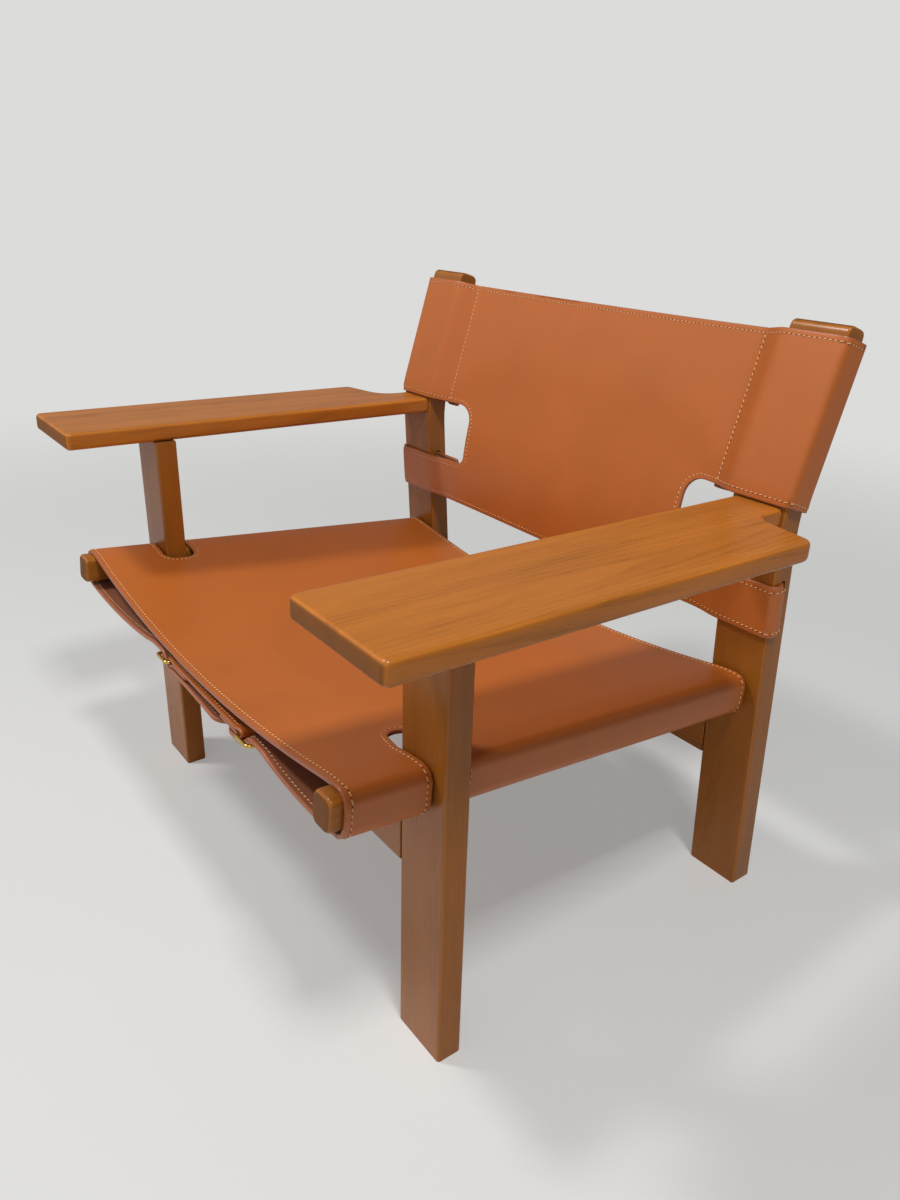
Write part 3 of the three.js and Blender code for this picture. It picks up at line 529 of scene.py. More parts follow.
def painted_hole_shade():
    """Dark discs at the pricked holes: painted shade for the hollow of each hole, nearly black."""
    material, tree = new_material("pricked_hide_hole")
    # The noise only varies the painted shade of the disc a little
    fibre_mm = 0.6
    tone, _ = mottle(tree, shade(colours().hide_edge, 0.16), fibre_mm, 0.6, 1.4)
    finish = {"Base Color": tone, "Roughness": 0.9, "IOR": 1.5}
    add_node(tree, "OutputMaterial", {"Surface": add_node(tree, "BsdfPrincipled", finish)})
    return material


def polished_brass():
    """Cast brass, tumbled and polished: warm and bright, with fine scuffs and a little tarnish."""
    material, tree = new_material("polished_cast_brass")
    scuff_mm, tarnish_mm = 0.7, 9
    tone, _ = mottle(tree, colours().brass, tarnish_mm, 0.75, 1.12)
    place = add_node(tree, "TexCoord").outputs["Object"]
    scuffs = add_node(tree, "TexNoise", {"Vector": place, "Scale": 1 / (scuff_mm * MM), "Detail": 3.0})
    rough = add_node(tree, "MapRange", {"Value": scuffs, "To Min": 0.12, "To Max": 0.3})
    finish = {"Base Color": tone, "Metallic": 1.0, "Roughness": rough}
    add_node(tree, "OutputMaterial", {"Surface": add_node(tree, "BsdfPrincipled", finish)})
    return material


def log_place(tree, grain, pith, tilt):
    """Places in the log that a board was sawn from, with the grain along Z and squeezed that way."""
    turn = GRAIN_TURNS[grain]
    heart = Euler(turn).to_matrix() @ Vector(pith) * MM
    squeeze = [FIGURE_SQUEEZE if axis == grain else 1 for axis in "xyz"]
    place = add_node(tree, "TexCoord").outputs["Object"]
    laid = add_node(
        tree, "Mapping", {"Vector": place, "Location": -heart, "Rotation": turn, "Scale": squeeze}
    )
    lean = (math.radians(tilt), math.radians(tilt * CROSS_LEAN), 0)
    return add_node(tree, "Mapping", {"Vector": laid, "Rotation": lean})


def growth_rings(tree, log, figure):
    """Tone of the growth rings round the pith, which wander a little."""
    ring_mm, wander_mm = 4.5, 60
    # A wave texture of scale 1 has this distance from ring to ring
    wave = math.tau / 20
    shape = {
        "Vector": log,
        "Scale": wave / (ring_mm * MM),
        "Distortion": 6.0,
        "Detail": 2.0,
        "Detail Scale": ring_mm / wander_mm / wave,
    }
    rings = add_node(tree, "TexWave", shape, wave_type="RINGS", rings_direction="Z", wave_profile="SAW")
    tones = add_node(tree, "ValToRGB", {"Fac": rings.outputs["Fac"]})
    elements = tones.color_ramp.elements
    elements.remove(elements[0])
    elements[0].position = 0
    for position, _ in RING_TONES[1:]:
        elements.new(position)
    for element, (_, tone) in zip(elements, RING_TONES):
        element.color = (*(3 * [tone * figure]), 1)
    return tones


def stained_ash(name, early, grain, pith, tilt, figure):
    """Ash boards, stained amber and sprayed with satin lacquer: growth rings, long fibres, short dark pores.

    The rings are cylinders round a pith line outside the board, a little out of line with it, so a flat face
    shows cathedrals, an edge straight lines and an end arcs. End grain drinks more of the stain. Eased edges
    are painted lighter, partly as wear, rubbed down between coats, and partly as a painted highlight.
    """
    material, tree = new_material(f"stained_ash_{name}")
    # Real pores are about 0.3 mm across and fibres much finer, so both are drawn coarse enough to show
    streak_mm, fibre_mm, pore_mm = 22, 0.7, 1.1
    log = log_place(tree, grain, pith, tilt)
    longer = (1, 1, FIBRE_SQUEEZE / FIGURE_SQUEEZE)
    drawn_out = add_node(tree, "VectorMath", {0: log, 1: longer}, operation="MULTIPLY")
    streaks = add_node(tree, "TexNoise", {"Vector": log, "Scale": 1 / (streak_mm * MM), "Detail": 3.0})
    fibres = add_node(
        tree,
        "TexNoise",
        {"Vector": drawn_out, "Scale": 1 / (fibre_mm * MM), "Detail": 3.0, "Roughness": 0.6},
    )
    pores = add_node(tree, "TexNoise", {"Vector": drawn_out, "Scale": 1 / (pore_mm * MM), "Detail": 1.0})

    # Which way a face looks: along the grain at an end, and along no axis on an eased edge
    normal = add_node(tree, "NewGeometry").outputs["Normal"]
    facing = add_node(tree, "VectorMath", {0: normal}, operation="ABSOLUTE")
    sides = add_node(tree, "SeparateXYZ", {0: facing}).outputs
    end_grain = add_node(
        tree, "MapRange", {"Value": sides[grain.upper()], "From Min": 0.6, "From Max": 0.95, "To Max": 0.65}
    )
    broadest = add_node(tree, "Math", {0: sides["X"], 1: sides["Y"]}, operation="MAXIMUM")
    broadest = add_node(tree, "Math", {0: broadest, 1: sides["Z"]}, operation="MAXIMUM")

    # In places the rings run out and the wood is plain, and the stain drowns them on an end
    rings = growth_rings(tree, log, figure)
    open_pores = add_node(
        tree, "MapRange", {"Value": pores, "From Min": 0.42, "From Max": 0.62, "To Min": 0.3}
    )
    lines = add_node(tree, "Math", {0: rings, 1: open_pores}, operation="MULTIPLY")
    plain = add_node(tree, "MapRange", {"Value": streaks, "From Min": 0.36, "From Max": 0.6, "To Max": 0.85})
    plain = add_node(tree, "Math", {0: plain, 1: end_grain}, operation="MAXIMUM")
    shown = add_node(tree, "Math", {0: 1.0, 1: plain}, operation="SUBTRACT")
    lines = add_node(tree, "Math", {0: lines, 1: shown}, operation="MULTIPLY")

    # Coats of colour: streaks, fibres, ring lines, stained ends, and eased edges lighter with wear and a
    # painted highlight
    fibre_tone = add_node(
        tree, "MapRange", {"Value": fibres, "From Min": 0.3, "From Max": 0.7, "To Min": 0.92, "To Max": 1.06}
    )
    # Eased edges are painted lighter: partly wear, partly a painted highlight along them
    wear_and_highlight = add_node(
        tree, "MapRange", {"Value": broadest, "From Min": 0.92, "From Max": 0.76, "To Max": 0.6}
    )
    uneven = add_node(tree, "MapRange", {"Value": streaks, "From Min": 0.4, "From Max": 0.6, "To Min": 0.35})
    wear_and_highlight = add_node(tree, "Math", {0: wear_and_highlight, 1: uneven}, operation="MULTIPLY")
    tone = shade(early, 0.72)
    for factor, coat, blend in (
        (streaks, shade(early, 1.25), "MIX"),
        (1.0, fibre_tone, "MULTIPLY"),
        (lines, shade(early, 0.4), "MIX"),
        (end_grain, shade(early, 0.3), "MIX"),
        (wear_and_highlight, shade(early, 1.5), "MIX"),
    ):
        coats = {"Factor": factor, MIX_A: tone, MIX_B: coat}
        tone = add_node(tree, "Mix", coats, data_type="RGBA", blend_type=blend)

    rough = add_node(tree, "MapRange", {"Value": lines, "To Min": 0.27, "To Max": 0.45})
    finish = {
        "Base Color": tone,
        "Roughness": add_node(tree, "Math", {0: rough, 1: end_grain}, operation="MAXIMUM"),
        "Normal": add_node(tree, "Bump", {"Height": lines, "Strength": 0.2, "Distance": -0.1 * MM}),
        "IOR": 1.5,
        "Specular IOR Level": 0.28,
    }
    add_node(tree, "OutputMaterial", {"Surface": add_node(tree, "BsdfPrincipled", finish)})
    return material


# Flat patterns


def unit_rows(rows):
    """Rows of numbers as unit vectors."""
    return rows / np.linalg.norm(rows, axis=1)[:, None]


def rounded_loop(corners, step):
    """A closed outline from corners (s, t, radius): arcs at its corners, and points every step or closer."""
    outline = []
    for k, (s, t, radius) in enumerate(corners):
        corner = np.array((s, t))
        neighbours = np.array((corners[k - 1][:2], corners[(k + 1) % len(corners)][:2]))
        before, after = unit_rows(neighbours - corner)
        half = math.acos(np.clip(before @ after, -1, 1)) / 2
        middle = (before + after) / np.linalg.norm(before + after)
        centre = corner + middle * radius / math.sin(half)
        start, end = (corner + way * radius / math.tan(half) - centre for way in (before, after))
        angle = math.atan2(start[0] * end[1] - start[1] * end[0], start @ end)
        turn = abs(angle)
        steps = max(CORNER_STEPS, math.ceil(turn * radius / step), math.ceil(turn / CORNER_TURN))
        for turned in np.linspace(0, angle, steps + 1):
            cosine, sine = math.cos(turned), math.sin(turned)
            spoke = (cosine * start[0] - sine * start[1], sine * start[0] + cosine * start[1])
            outline.append(centre + spoke)
    filled = []
    for here, there in zip(outline, outline[1:] + outline[:1]):
        gap = np.linalg.norm(there - here)
        if gap < SHORTEST_EDGE:
            continue
        pieces = max(1, math.ceil(gap / step))
        filled.extend(here + (there - here) * k / pieces for k in range(pieces))
    return np.array(filled)


def inset_loop(loop, distance):
    """The outline moved into the hide, which lies on its left."""
    forward = unit_rows(np.roll(loop, -1, axis=0) - loop)
    normal = np.column_stack((-forward[:, 1], forward[:, 0]))
    both = unit_rows(normal + np.roll(normal, 1, axis=0))
    sharpest = 0.5
    stretch = np.clip((both * normal).sum(axis=1), sharpest, 1)
    return loop + both * (distance / stretch)[:, None]


def is_inside(points, loops):
    """Which points lie in the hide: within an odd number of outlines."""
    inside = np.zeros(len(points), bool)
    s, t = points[:, 0], points[:, 1]
    for loop in loops:
        for (s0, t0), (s1, t1) in zip(loop, np.roll(loop, -1, axis=0)):
            if t0 == t1:
                continue
            crosses = (t0 > t) != (t1 > t)
            inside ^= crosses & (s < s0 + (t - t0) * (s1 - s0) / (t1 - t0))
    return inside


def fill_pattern(loops, columns, rows):
    """Points and triangles of a pattern: the inset outlines first, then a grid that follows its bends."""
    edge_loops, guard_loops, clear_loops = (
        [inset_loop(loop, EDGE_ROUND + further) for loop in loops] for further in (0, EDGE_GUARD, EDGE_CLEAR)
    )
    grid = np.array([(s, t) for s in columns for t in rows])
    grid = grid[is_inside(grid, clear_loops)]
    points = np.concatenate([*edge_loops, *guard_loops, grid])
    edges = []
    start = 0
    for loop in (*edge_loops, *guard_loops):
        count = len(loop)
        edges.extend((start + k, start + (k + 1) % count) for k in range(count))
        start += count
    nearest = 1e-5
    made, _, faces, origins, _, _ = delaunay_2d_cdt([Vector(p) for p in points], edges, [], 0, nearest)
    made = np.array(made)
    triangles = np.array([face for face in faces if len(face) == 3])
    triangles = triangles[is_inside(made[triangles].mean(axis=1), edge_loops)]
    ends = made[triangles]
    turn = np.cross(ends[:, 1] - ends[:, 0], ends[:, 2] - ends[:, 0])
    triangles[turn < 0] = triangles[turn < 0][:, ::-1]
    found = {origin: k for k, source in enumerate(origins) for origin in source}
    return made, triangles, edge_loops, found


def squarer(wave, power):
    """A sine or cosine bent so that the section it draws is squarer than round."""
    return np.sign(wave) * np.abs(wave) ** power


def build_hide(name, shape, loops, columns, rows, thickness, leathers):
    """A closed sheet of hide. shape.place(s, t, height) puts a point of the pattern in space."""
    points, triangles, edge_loops, found = fill_pattern(loops, columns, rows)
    half = thickness / 2
    used = np.unique(triangles)
    number = {old: new for new, old in enumerate(used)}
    count = len(used)
    places = [shape.place(*points[k], height) for height in (half, -half) for k in used]
    faces = [tuple(number[k] for k in face) for face in triangles]
    faces += [tuple(number[k] + count for k in reversed(face)) for face in triangles]
    kinds = [GRAIN] * len(triangles) + [FLESH] * len(triangles)
    start = 0
    for loop, edge_loop in zip(loops, edge_loops):
        outward = loop - edge_loop
        rim = [[number[found[start + k]] for k in range(len(loop))]]
        for step in range(1, EDGE_STEPS):
            angle = math.pi / 2 - math.pi * step / EDGE_STEPS
            reach = squarer(math.cos(angle), EDGE_POWER)
            height = half * squarer(math.sin(angle), EDGE_POWER)
            rim.append(range(len(places), len(places) + len(loop)))
            places += [shape.place(*spot, height) for spot in edge_loop + outward * reach]
        rim.append([k + count for k in rim[0]])
        for upper, lower in zip(rim, rim[1:]):
            for k in range(len(loop)):
                after = (k + 1) % len(loop)
                faces.append((upper[after], upper[k], lower[k], lower[after]))
                kinds.append(EDGE)
        start += len(loop)
    return new_piece(name, places, faces, kinds, leathers)


def new_piece(name, places, faces, kinds, materials):
    """A smooth mesh object from points in millimetres, with a material number for each face."""
    mesh = bpy.data.meshes.new(name)
    mesh.from_pydata([Vector(p) * MM for p in places], [], faces)
    for material in materials:
        mesh.materials.append(material)
    mesh.polygons.foreach_set("material_index", kinds)
    mesh.polygons.foreach_set("use_smooth", [True] * len(faces))
    mesh.update()
    piece = bpy.data.objects.new(name, mesh)
    bpy.context.scene.collection.objects.link(piece)
    return piece


def tube_faces(first, rings, sides, closed):
    """Faces round rings of points: the rings run back into the first, or a cap closes each end."""
    faces = []
    for ring in range(rings if closed else rings - 1):
        here, there = (first + k % rings * sides for k in (ring, ring + 1))
        for k in range(sides):
            after = (k + 1) % sides
            faces.append((here + k, here + after, there + after, there + k))
    if not closed:
        last = first + (rings - 1) * sides
        faces += [tuple(range(first, first + sides))[::-1], tuple(range(last, last + sides))]
    return faces


def round_waves(sides):
    """Cosine and sine of each of the points round a section."""
    angles = np.linspace(0, math.tau, sides, endpoint=False)
    return np.column_stack((np.cos(angles), np.sin(angles)))


# Stitching


def stitch_line(path, closed):
    """Stitches along a path of the pattern, as pairs of ends."""
    pitch = sizes().stitch_pitch / MM
    line = np.vstack([path, path[:1]]) if closed else np.array(path, float)
    reach = run_lengths(line)
    count = max(1, round(reach[-1] / pitch))
    starts = np.linspace(0, reach[-1], count, endpoint=False)
    ends = starts + STITCH_SHARE * reach[-1] / count

    def at(distance):
        return np.column_stack([np.interp(distance, reach, line[:, k]) for k in (0, 1)])

    return list(zip(at(starts), at(ends)))


def build_stitches(name, shape, runs, thickness, faces_up=(1, -1)):
    """Thread for stitches on one face of a hide or both, and at each pricked hole a dark disc of painted
    shade.
    """
    radius = sizes().thread / MM / 2
    waves = [(float(c), float(s)) for c, s in round_waves(STITCH_SIDES)]
    places, faces, kinds = [], [], []
    for begin, end in runs:
        for up in faces_up:
            surface = up * thickness / 2
            along = shape.place(*end, surface) - shape.place(*begin, surface)
            if along.length < radius:
                continue
            middle = (begin + end) / 2
            normal = (shape.place(*middle, surface + up) - shape.place(*middle, surface)).normalized()
            across = normal.cross(along).normalized()
            along.normalize()
            thread = tube_faces(len(places), len(STITCH_PROFILE), STITCH_SIDES, closed=False)
            for share, swell, lift in STITCH_PROFILE:
                spot = begin + (end - begin) * share
                # Saddle stitches lie a little aslant of their line
                slant = across * (share - 0.5) * STITCH_SLANT
                centre = shape.place(*spot, surface + up * lift * radius) + slant
                places += [centre + (across * c + normal * s) * radius * swell for c, s in waves]
            # At each pricked hole a dark disc just above the surface: painted shade for the hollow of the
            # hole
            mouth = shape.place(*begin, surface + up * PRICK_LIFT)
            mouth = mouth - across * STITCH_SLANT / 2 - along * PRICK_HALF_LENGTH
            hole = tuple(range(len(places), len(places) + STITCH_SIDES))
            places += [
                mouth + across * c * PRICK_HALF_WIDTH + along * s * PRICK_HALF_LENGTH for c, s in waves
            ]
            faces += [*thread, hole]
            kinds += [THREAD] * len(thread) + [HOLE_SHADE]
    return new_piece(name, places, faces, kinds, [waxed_thread(), painted_hole_shade()])


# Curves


def smooth_step(share):
    """A share from 0 to 1 that sets out and arrives gently."""
    share = np.clip(share, 0, 1)
    return share * share * (3 - 2 * share)


def slack_curve(points, spots):
    """Heights of a smooth curve through points, which never swings past them, at the given spots."""
    line = np.array(sorted(map(tuple, points)))
    x, y = line[:, 0], line[:, 1]
    step = np.diff(x)
    slope = np.diff(y) / step
    tangent = np.zeros(len(x))
    for k in range(1, len(x) - 1):
        if slope[k - 1] * slope[k] > 0:
            first, second = 2 * step[k] + step[k - 1], step[k] + 2 * step[k - 1]
            tangent[k] = (first + second) / (first / slope[k - 1] + second / slope[k])
    tangent[0], tangent[-1] = slope[0], slope[-1]
    cell = np.clip(np.searchsorted(x, spots) - 1, 0, len(x) - 2)
    share = (spots - x[cell]) / step[cell]
    rest = 1 - share
    return (
        y[cell] * (1 + 2 * share) * rest**2
        + y[cell + 1] * share**2 * (3 - 2 * share)
        + step[cell] * share * rest * (tangent[cell] * rest - tangent[cell + 1] * share)
    )


def arc(centre, radius, begin, end, steps):
    """Points on an arc between two angles in degrees."""
    angles = np.radians(np.linspace(begin, end, steps + 1))
    return np.column_stack((centre[0] + radius * np.cos(angles), centre[1] + radius * np.sin(angles)))


def easy_corner(begin, corner, end, steps):
    """Points on a smooth turn from begin to end past a corner."""
    share = np.linspace(0, 1, steps + 1)[:, None]
    begin, corner, end = np.array(begin), np.array(corner), np.array(end)
    return begin * (1 - share) ** 2 + 2 * corner * share * (1 - share) + end * share**2


def swing(begin, end, steps):
    """Points on a smooth S from begin to end, level at both."""
    share = np.linspace(0, 1, steps + 1)
    (x0, y0), (x1, y1) = begin, end
    return np.column_stack((x0 + (x1 - x0) * share, y0 + (y1 - y0) * smooth_step(share)))


def side_normals(line):
    """Unit normals to the left of a line of points."""
    forward = unit_rows(np.diff(line, axis=0))
    both = unit_rows(np.vstack([forward[:1], forward[:-1] + forward[1:], forward[-1:]]))
    return np.column_stack((-both[:, 1], both[:, 0]))


def run_lengths(line):
    """Distance of each point of a line from its start."""
    return np.concatenate([[0], np.cumsum(np.linalg.norm(np.diff(line, axis=0), axis=1))])


def run_at(x, line, runs):
    """Distance along a stretch of a line at a place across the chair."""
    order = np.argsort(line[:, 0])
    return float(np.interp(x, line[order, 0], runs[order]))


def beside(s, runs, line, normals, height):
    """A point at a distance along a line and a height off it."""
    return (np.interp(s, runs, line[:, k] + normals[:, k] * height) for k in (0, 1))


# Straps


def heel_bar(label, hand):
    """Middle of the buckle bar that a belt is folded round."""
    return Vector(JOINTS[f"prong_{label}_{hand}_swing"]["pos_m"]) / MM


def heel_across(label, hand):
    """Place of that bar across the chair, without the rounding of a Vector."""
    return JOINTS[f"prong_{label}_{hand}_swing"]["pos_m"][0] / MM


def buckle_way(hide, tip_distance, tip_drop):
    """A strap end through its buckle: over the front bar, down through the frame and under the heel bar.

    Distances run from the heel bar towards the front bar, heights from the plane of the frame.
    """
    over = BUCKLE_ROD / 2 + STRAP_GAP + hide / 2
    under = -(EYE_BORE + BELT_PLY + STRAP_GAP + hide / 2)
    return [
        (BUCKLE_PITCH + STRAP_LEAD, over),
        (BUCKLE_PITCH + STRAP_PASS, over),
        (BUCKLE_PITCH - STRAP_PASS, over),
        (BUCKLE_PITCH / 2, (over + under) / 2),
        (STRAP_PASS, under),
        (-STRAP_PASS, under),
        (tip_distance / 2, under - tip_drop / 4),
        (tip_distance, under - tip_drop),
    ]


def strap_line(before, tab, heel, counts):
    """Points of a strap on one smooth curve: up to its buckle, through that and on to its tip."""
    stops = (before[0][0], tab[0][0], heel - 2 * STRAP_PASS, tab[-1][0])
    spots = np.concatenate([np.linspace(*ends)[1:] for ends in zip(stops, stops[1:], counts)])
    return np.column_stack((spots, slack_curve(before + tab, spots)))


def slot_loop(begin, end, middle):
    """A prong slot in a pattern, from one distance to another."""
    half = PRONG_SLOT_WIDTH / 2
    begin, end = sorted((begin, end))
    corners = [(begin, middle - half), (begin, middle + half), (end, middle + half), (end, middle - half)]
    return rounded_loop([(*corner, SLOT_ROUND) for corner in corners], SLOT_STEP)


# Seat sling


def seat_point(x, v, w):
    """A point by its place across the chair, back along the rails and above their tops."""
    return SEAT_ORIGIN + Vector((x, 0, 0)) + SEAT_ALONG * v + SEAT_UP * w


def belt_in_seat(label):
    """Where a belt under the seat lies: back along the rails, and above them."""
    offset = heel_bar(label, "left") - SEAT_ORIGIN
    return offset.dot(SEAT_ALONG), offset.dot(SEAT_UP)


def seat_half(hand, sag):
    """Half a section of the seat sling, from the middle of the span to the strap tip, for the left side."""
    side = SIDES[hand]
    hide = sizes().hide / MM
    offset = hide / 2 + HIDE_GAP
    across = np.linspace(0, SEAT_SPAN - SPAN_ROUND, num=22)
    span = np.column_stack((across, offset - sag * (1 - (across / SEAT_SPAN) ** 2)))
    flat, outer = RAIL_OUTER - RAIL_ROUND, RAIL_OUTER + offset
    onto_rail = easy_corner(span[-1], (SEAT_SPAN, offset), (flat, offset), steps=6)
    over_rail = arc((flat, -RAIL_ROUND), RAIL_ROUND + offset, 90, 0, steps=9)
    under_rail = arc((outer - WRAP_BOTTOM_ROUND, -WRAP_SIDE_DEPTH), WRAP_BOTTOM_ROUND, 0, -90, steps=9)
    _, drop = belt_in_seat("front")
    heel = side * heel_bar("front", hand).x
    way = buckle_way(hide, side * SEAT_TIP[hand] - heel, TIP_DROP[hand])
    tab = [(heel + distance, drop + height) for distance, height in way]
    start, stop = under_rail[-1], np.array(tab[0])
    drooping = [
        tuple(start + (stop - start) * share - (0, 4 * FLAP_DROOP[hand] * share * (1 - share)))
        for share in np.linspace(0, 1, num=6, endpoint=False)
    ]
    flap = strap_line(drooping, tab, heel, SEAT_STRAP_COUNTS)
    return np.vstack([span, onto_rail[1:], over_rail[1:], under_rail, flap])


class SeatShape:
    """How the seat sling hangs: its section at the front, middle and rear, and the pattern laid on it."""

    def __init__(self):
        self.sections = []
        for sag in sizes().seat_sag:
            left, right = (seat_half(hand, sag / MM) * (side, 1) for hand, side in SIDES.items())
            self.sections.append(np.vstack([right[:0:-1], left]))
        self.middle = len(right) - 1
        self.runs = run_lengths(self.sections[1])

    def at(self, hand, x, flap):
        """Place in the pattern of a point across the chair, on the top or on the flap of one side."""
        line = self.sections[1]
        if hand == "left":
            outer = np.argmax(line[:, 0])
            part = slice(outer, None) if flap else slice(self.middle, outer + 1)
        else:
            outer = np.argmin(line[:, 0])
            part = slice(0, outer + 1) if flap else slice(outer, self.middle + 1)
        return run_at(x, line[part], self.runs[part])

    def place(self, s, v, height):
        """A point of the pattern in space, a height above the middle of the hide."""
        share = (2 * v - SEAT_FRONT - SEAT_REAR) / (SEAT_REAR - SEAT_FRONT)
        weights = (share * (share - 1) / 2, 1 - share * share, share * (share + 1) / 2)
        line = sum(weight * section for weight, section in zip(weights, self.sections))
        x, w = beside(s, self.runs, line, side_normals(line), height)
        return seat_point(x, v, w)

    def leg_notch(self, hand):
        """The hole that a front leg stands in: from the top of the seat round the rail to the flap."""
        side = SIDES[hand]
        end = LEG_NOTCH_X[hand]

        def corner(s, y, w):
            return s, (y - SEAT_ORIGIN.y - w * SEAT_UP.y) / SEAT_ALONG.y, LEG_NOTCH_ROUND

        top, flap = self.at(hand, end, False), self.at(hand, end, True)
        under = -WRAP_SIDE_DEPTH - WRAP_BOTTOM_ROUND
        corners = [
            corner(flap, LEG_NOTCH_FRONT_Y, under),
            corner(flap, LEG_NOTCH_REAR_Y[hand], under),
            corner(top, LEG_NOTCH_REAR_Y[hand], 0),
        ]
        if LEG_INNER - side * end < LEG_NOTCH_SLANT:
            corners.append(corner(top, LEG_NOTCH_FRONT_Y, 0))
        else:
            # Inside the leg the front edge of a long notch slants back
            corners.append(corner(top, LEG_NOTCH_FRONT_Y + LEG_NOTCH_SLANT, 0))
            corners.append(corner(self.at(hand, side * LEG_INNER, False), LEG_NOTCH_FRONT_Y, 0))
        return rounded_loop(corners[::-side], NOTCH_STEP)

    def loops(self):
        """Outline of the flat hide and its holes."""
        tips = {"left": self.runs[-1], "right": 0}
        outline = []
        for hand, side in SIDES.items():
            edge = self.at(hand, FLAP_END[hand], True)
            ends = []
            for label in SEAT_BELTS[::side]:
                v, _ = belt_in_seat(label)
                near, far = v - side * TAB_WIDTH / 2, v + side * TAB_WIDTH / 2
                ends += [(edge, near, FLAP_ROUND), (tips[hand], near, TIP_ROUND)]
                ends += [(tips[hand], far, TIP_ROUND), (edge, far, FLAP_ROUND)]
            # The first and last strap run on into the front and rear edges
            outline += ends[1:-1]
        loops = [rounded_loop(outline, OUTLINE_STEP)]
        for hand, side in SIDES.items():
            loops.append(self.leg_notch(hand))
            for label in SEAT_BELTS:
                heel = heel_bar(label, hand).x
                begin, end = (self.at(hand, heel + side * reach, True) for reach in PRONG_SLOT)
                loops.append(slot_loop(begin, end, belt_in_seat(label)[0]))
        return loops

    def stitches(self):
        """A row along the outline and one round each leg notch."""
        inset = sizes().stitch_inset / MM
        runs = []
        for loop in (self.loops()[0], *(self.leg_notch(hand) for hand in SIDES)):
            runs += stitch_line(inset_loop(loop, inset), True)
        return runs


# Back sling


def post_face(height, ease):
    """A point of the posts' front faces, as depth and height, and the direction into the post there."""
    def along(angle, distance):
        return POST_BEND + Vector((math.sin(angle), math.cos(angle))) * distance

    below = along(-POST_LEAN, min(height, -ease))
    above = along(POST_RECLINE, max(height, ease))
    share = min(1, max(0, (height + ease) / (2 * ease)))
    point = below * (1 - share) ** 2 + POST_BEND * 2 * share * (1 - share) + above * share**2
    up = ((POST_BEND - below) * (1 - share) + (above - POST_BEND) * share).normalized()
    return point, Vector((up.y, -up.x))


def post_point(x, height, depth):
    """A point by its place across the chair, up along the posts and behind their front faces.

    The hide bends sharply at the posts and more and more gently towards the middle of its span.
    """
    slack = max(0, 1 - (x / SEAM_X) ** PANEL_BEND_POWER)
    point, inward = post_face(height, POST_BEND_EASE + (PANEL_BEND_EASE - POST_BEND_EASE) * slack)
    return Vector((x, point.x + inward.x * depth, point.y + inward.y * depth))


def panel_depth(x, height):
    """Depth of the back: forward where the tongues hold it, half way into the posts where the sleeves do.

    One passes into the other between them, and more slowly in the middle of the span.
    """
    slack = PANEL_SLACK * max(0, 1 - (x / SEAM_X) ** PANEL_SLACK_POWER)
    low, high = TONGUE_TOP - slack, SLEEVE_BOTTOM + slack
    share = smooth_step((height - low) / (high - low))
    edge = TONGUE_DEPTH + (SLEEVE_DEPTH - TONGUE_DEPTH) * share
    sag = TONGUE_SAG + (sizes().back_sag / MM - TONGUE_SAG) * share
    return edge + sag * (1 - (x / SEAM_X) ** 2)


def sleeve_half():
    """Section of a sleeve beyond its seam: round the post and back to the seam."""
    hide = sizes().hide / MM
    offset = hide / 2 + HIDE_GAP
    outer = LEG_OUTER - POST_EDGE
    front, rear = -offset, POST_DEPTH + offset + SLEEVE_SLACK
    seam = SLEEVE_DEPTH + hide + SEAM_CLEAR
    begin, corner = np.array((SEAM_X, SLEEVE_DEPTH)), np.array((LEG_INNER - offset, front))
    turn = begin + (corner - begin) * SLEEVE_TURN
    flat = LEG_INNER + 2 * offset
    return np.vstack(
        [
            np.linspace(begin, turn, num=6)[1:],
            easy_corner(turn, corner, (flat, front), steps=6)[1:],
            np.linspace((flat, front), (outer, front), num=6)[1:-1],
            arc((outer, POST_EDGE), POST_EDGE + offset, -90, 0, steps=7),
            arc((outer, POST_DEPTH - POST_EDGE + SLEEVE_SLACK), POST_EDGE + offset, 0, 90, steps=7),
            np.linspace((outer, rear), (LEG_INNER, rear), num=7)[1:],
            swing((LEG_INNER, rear), (SEAM_X + SEAM_LEAD, seam), steps=10)[1:],
            np.linspace((SEAM_X + SEAM_LEAD, seam), (SEAM_X - SEAM_ALLOWANCE, seam), num=5)[1:],
        ]
    )


def tongue_half():
    """Section of a tongue beyond the panel: round the post, in through its slot and on to the strap tip."""
    hide = sizes().hide / MM
    offset = hide / 2 + HIDE_GAP
    outer = LEG_OUTER - POST_EDGE
    turn_x = LEG_OUTER + offset - TONGUE_TURN
    heel = heel_bar("back", "left").x
    way = buckle_way(hide, BACK_TIP_X - heel, TIP_DROP["left"])
    tab = [(heel + distance, BACK_BELT_DEPTH - height) for distance, height in way]
    behind = [(LEG_INNER, SLEEVE_DEPTH), (BACK_TAB_ROOT_X, SLEEVE_DEPTH)]
    return np.vstack(
        [
            swing((SEAM_X, TONGUE_DEPTH), (LEG_INNER, -offset), steps=8)[1:],
            np.linspace((LEG_INNER, -offset), (outer, -offset), num=7)[1:-1],
            arc((outer, POST_EDGE), POST_EDGE + offset, -90, 0, steps=7),
            arc((turn_x, SLEEVE_DEPTH - TONGUE_TURN), TONGUE_TURN, 0, 90, steps=7),
            np.linspace((turn_x, SLEEVE_DEPTH), (LEG_INNER, SLEEVE_DEPTH), num=7)[1:],
            strap_line(behind, tab, heel, BACK_STRAP_COUNTS),
        ]
    )


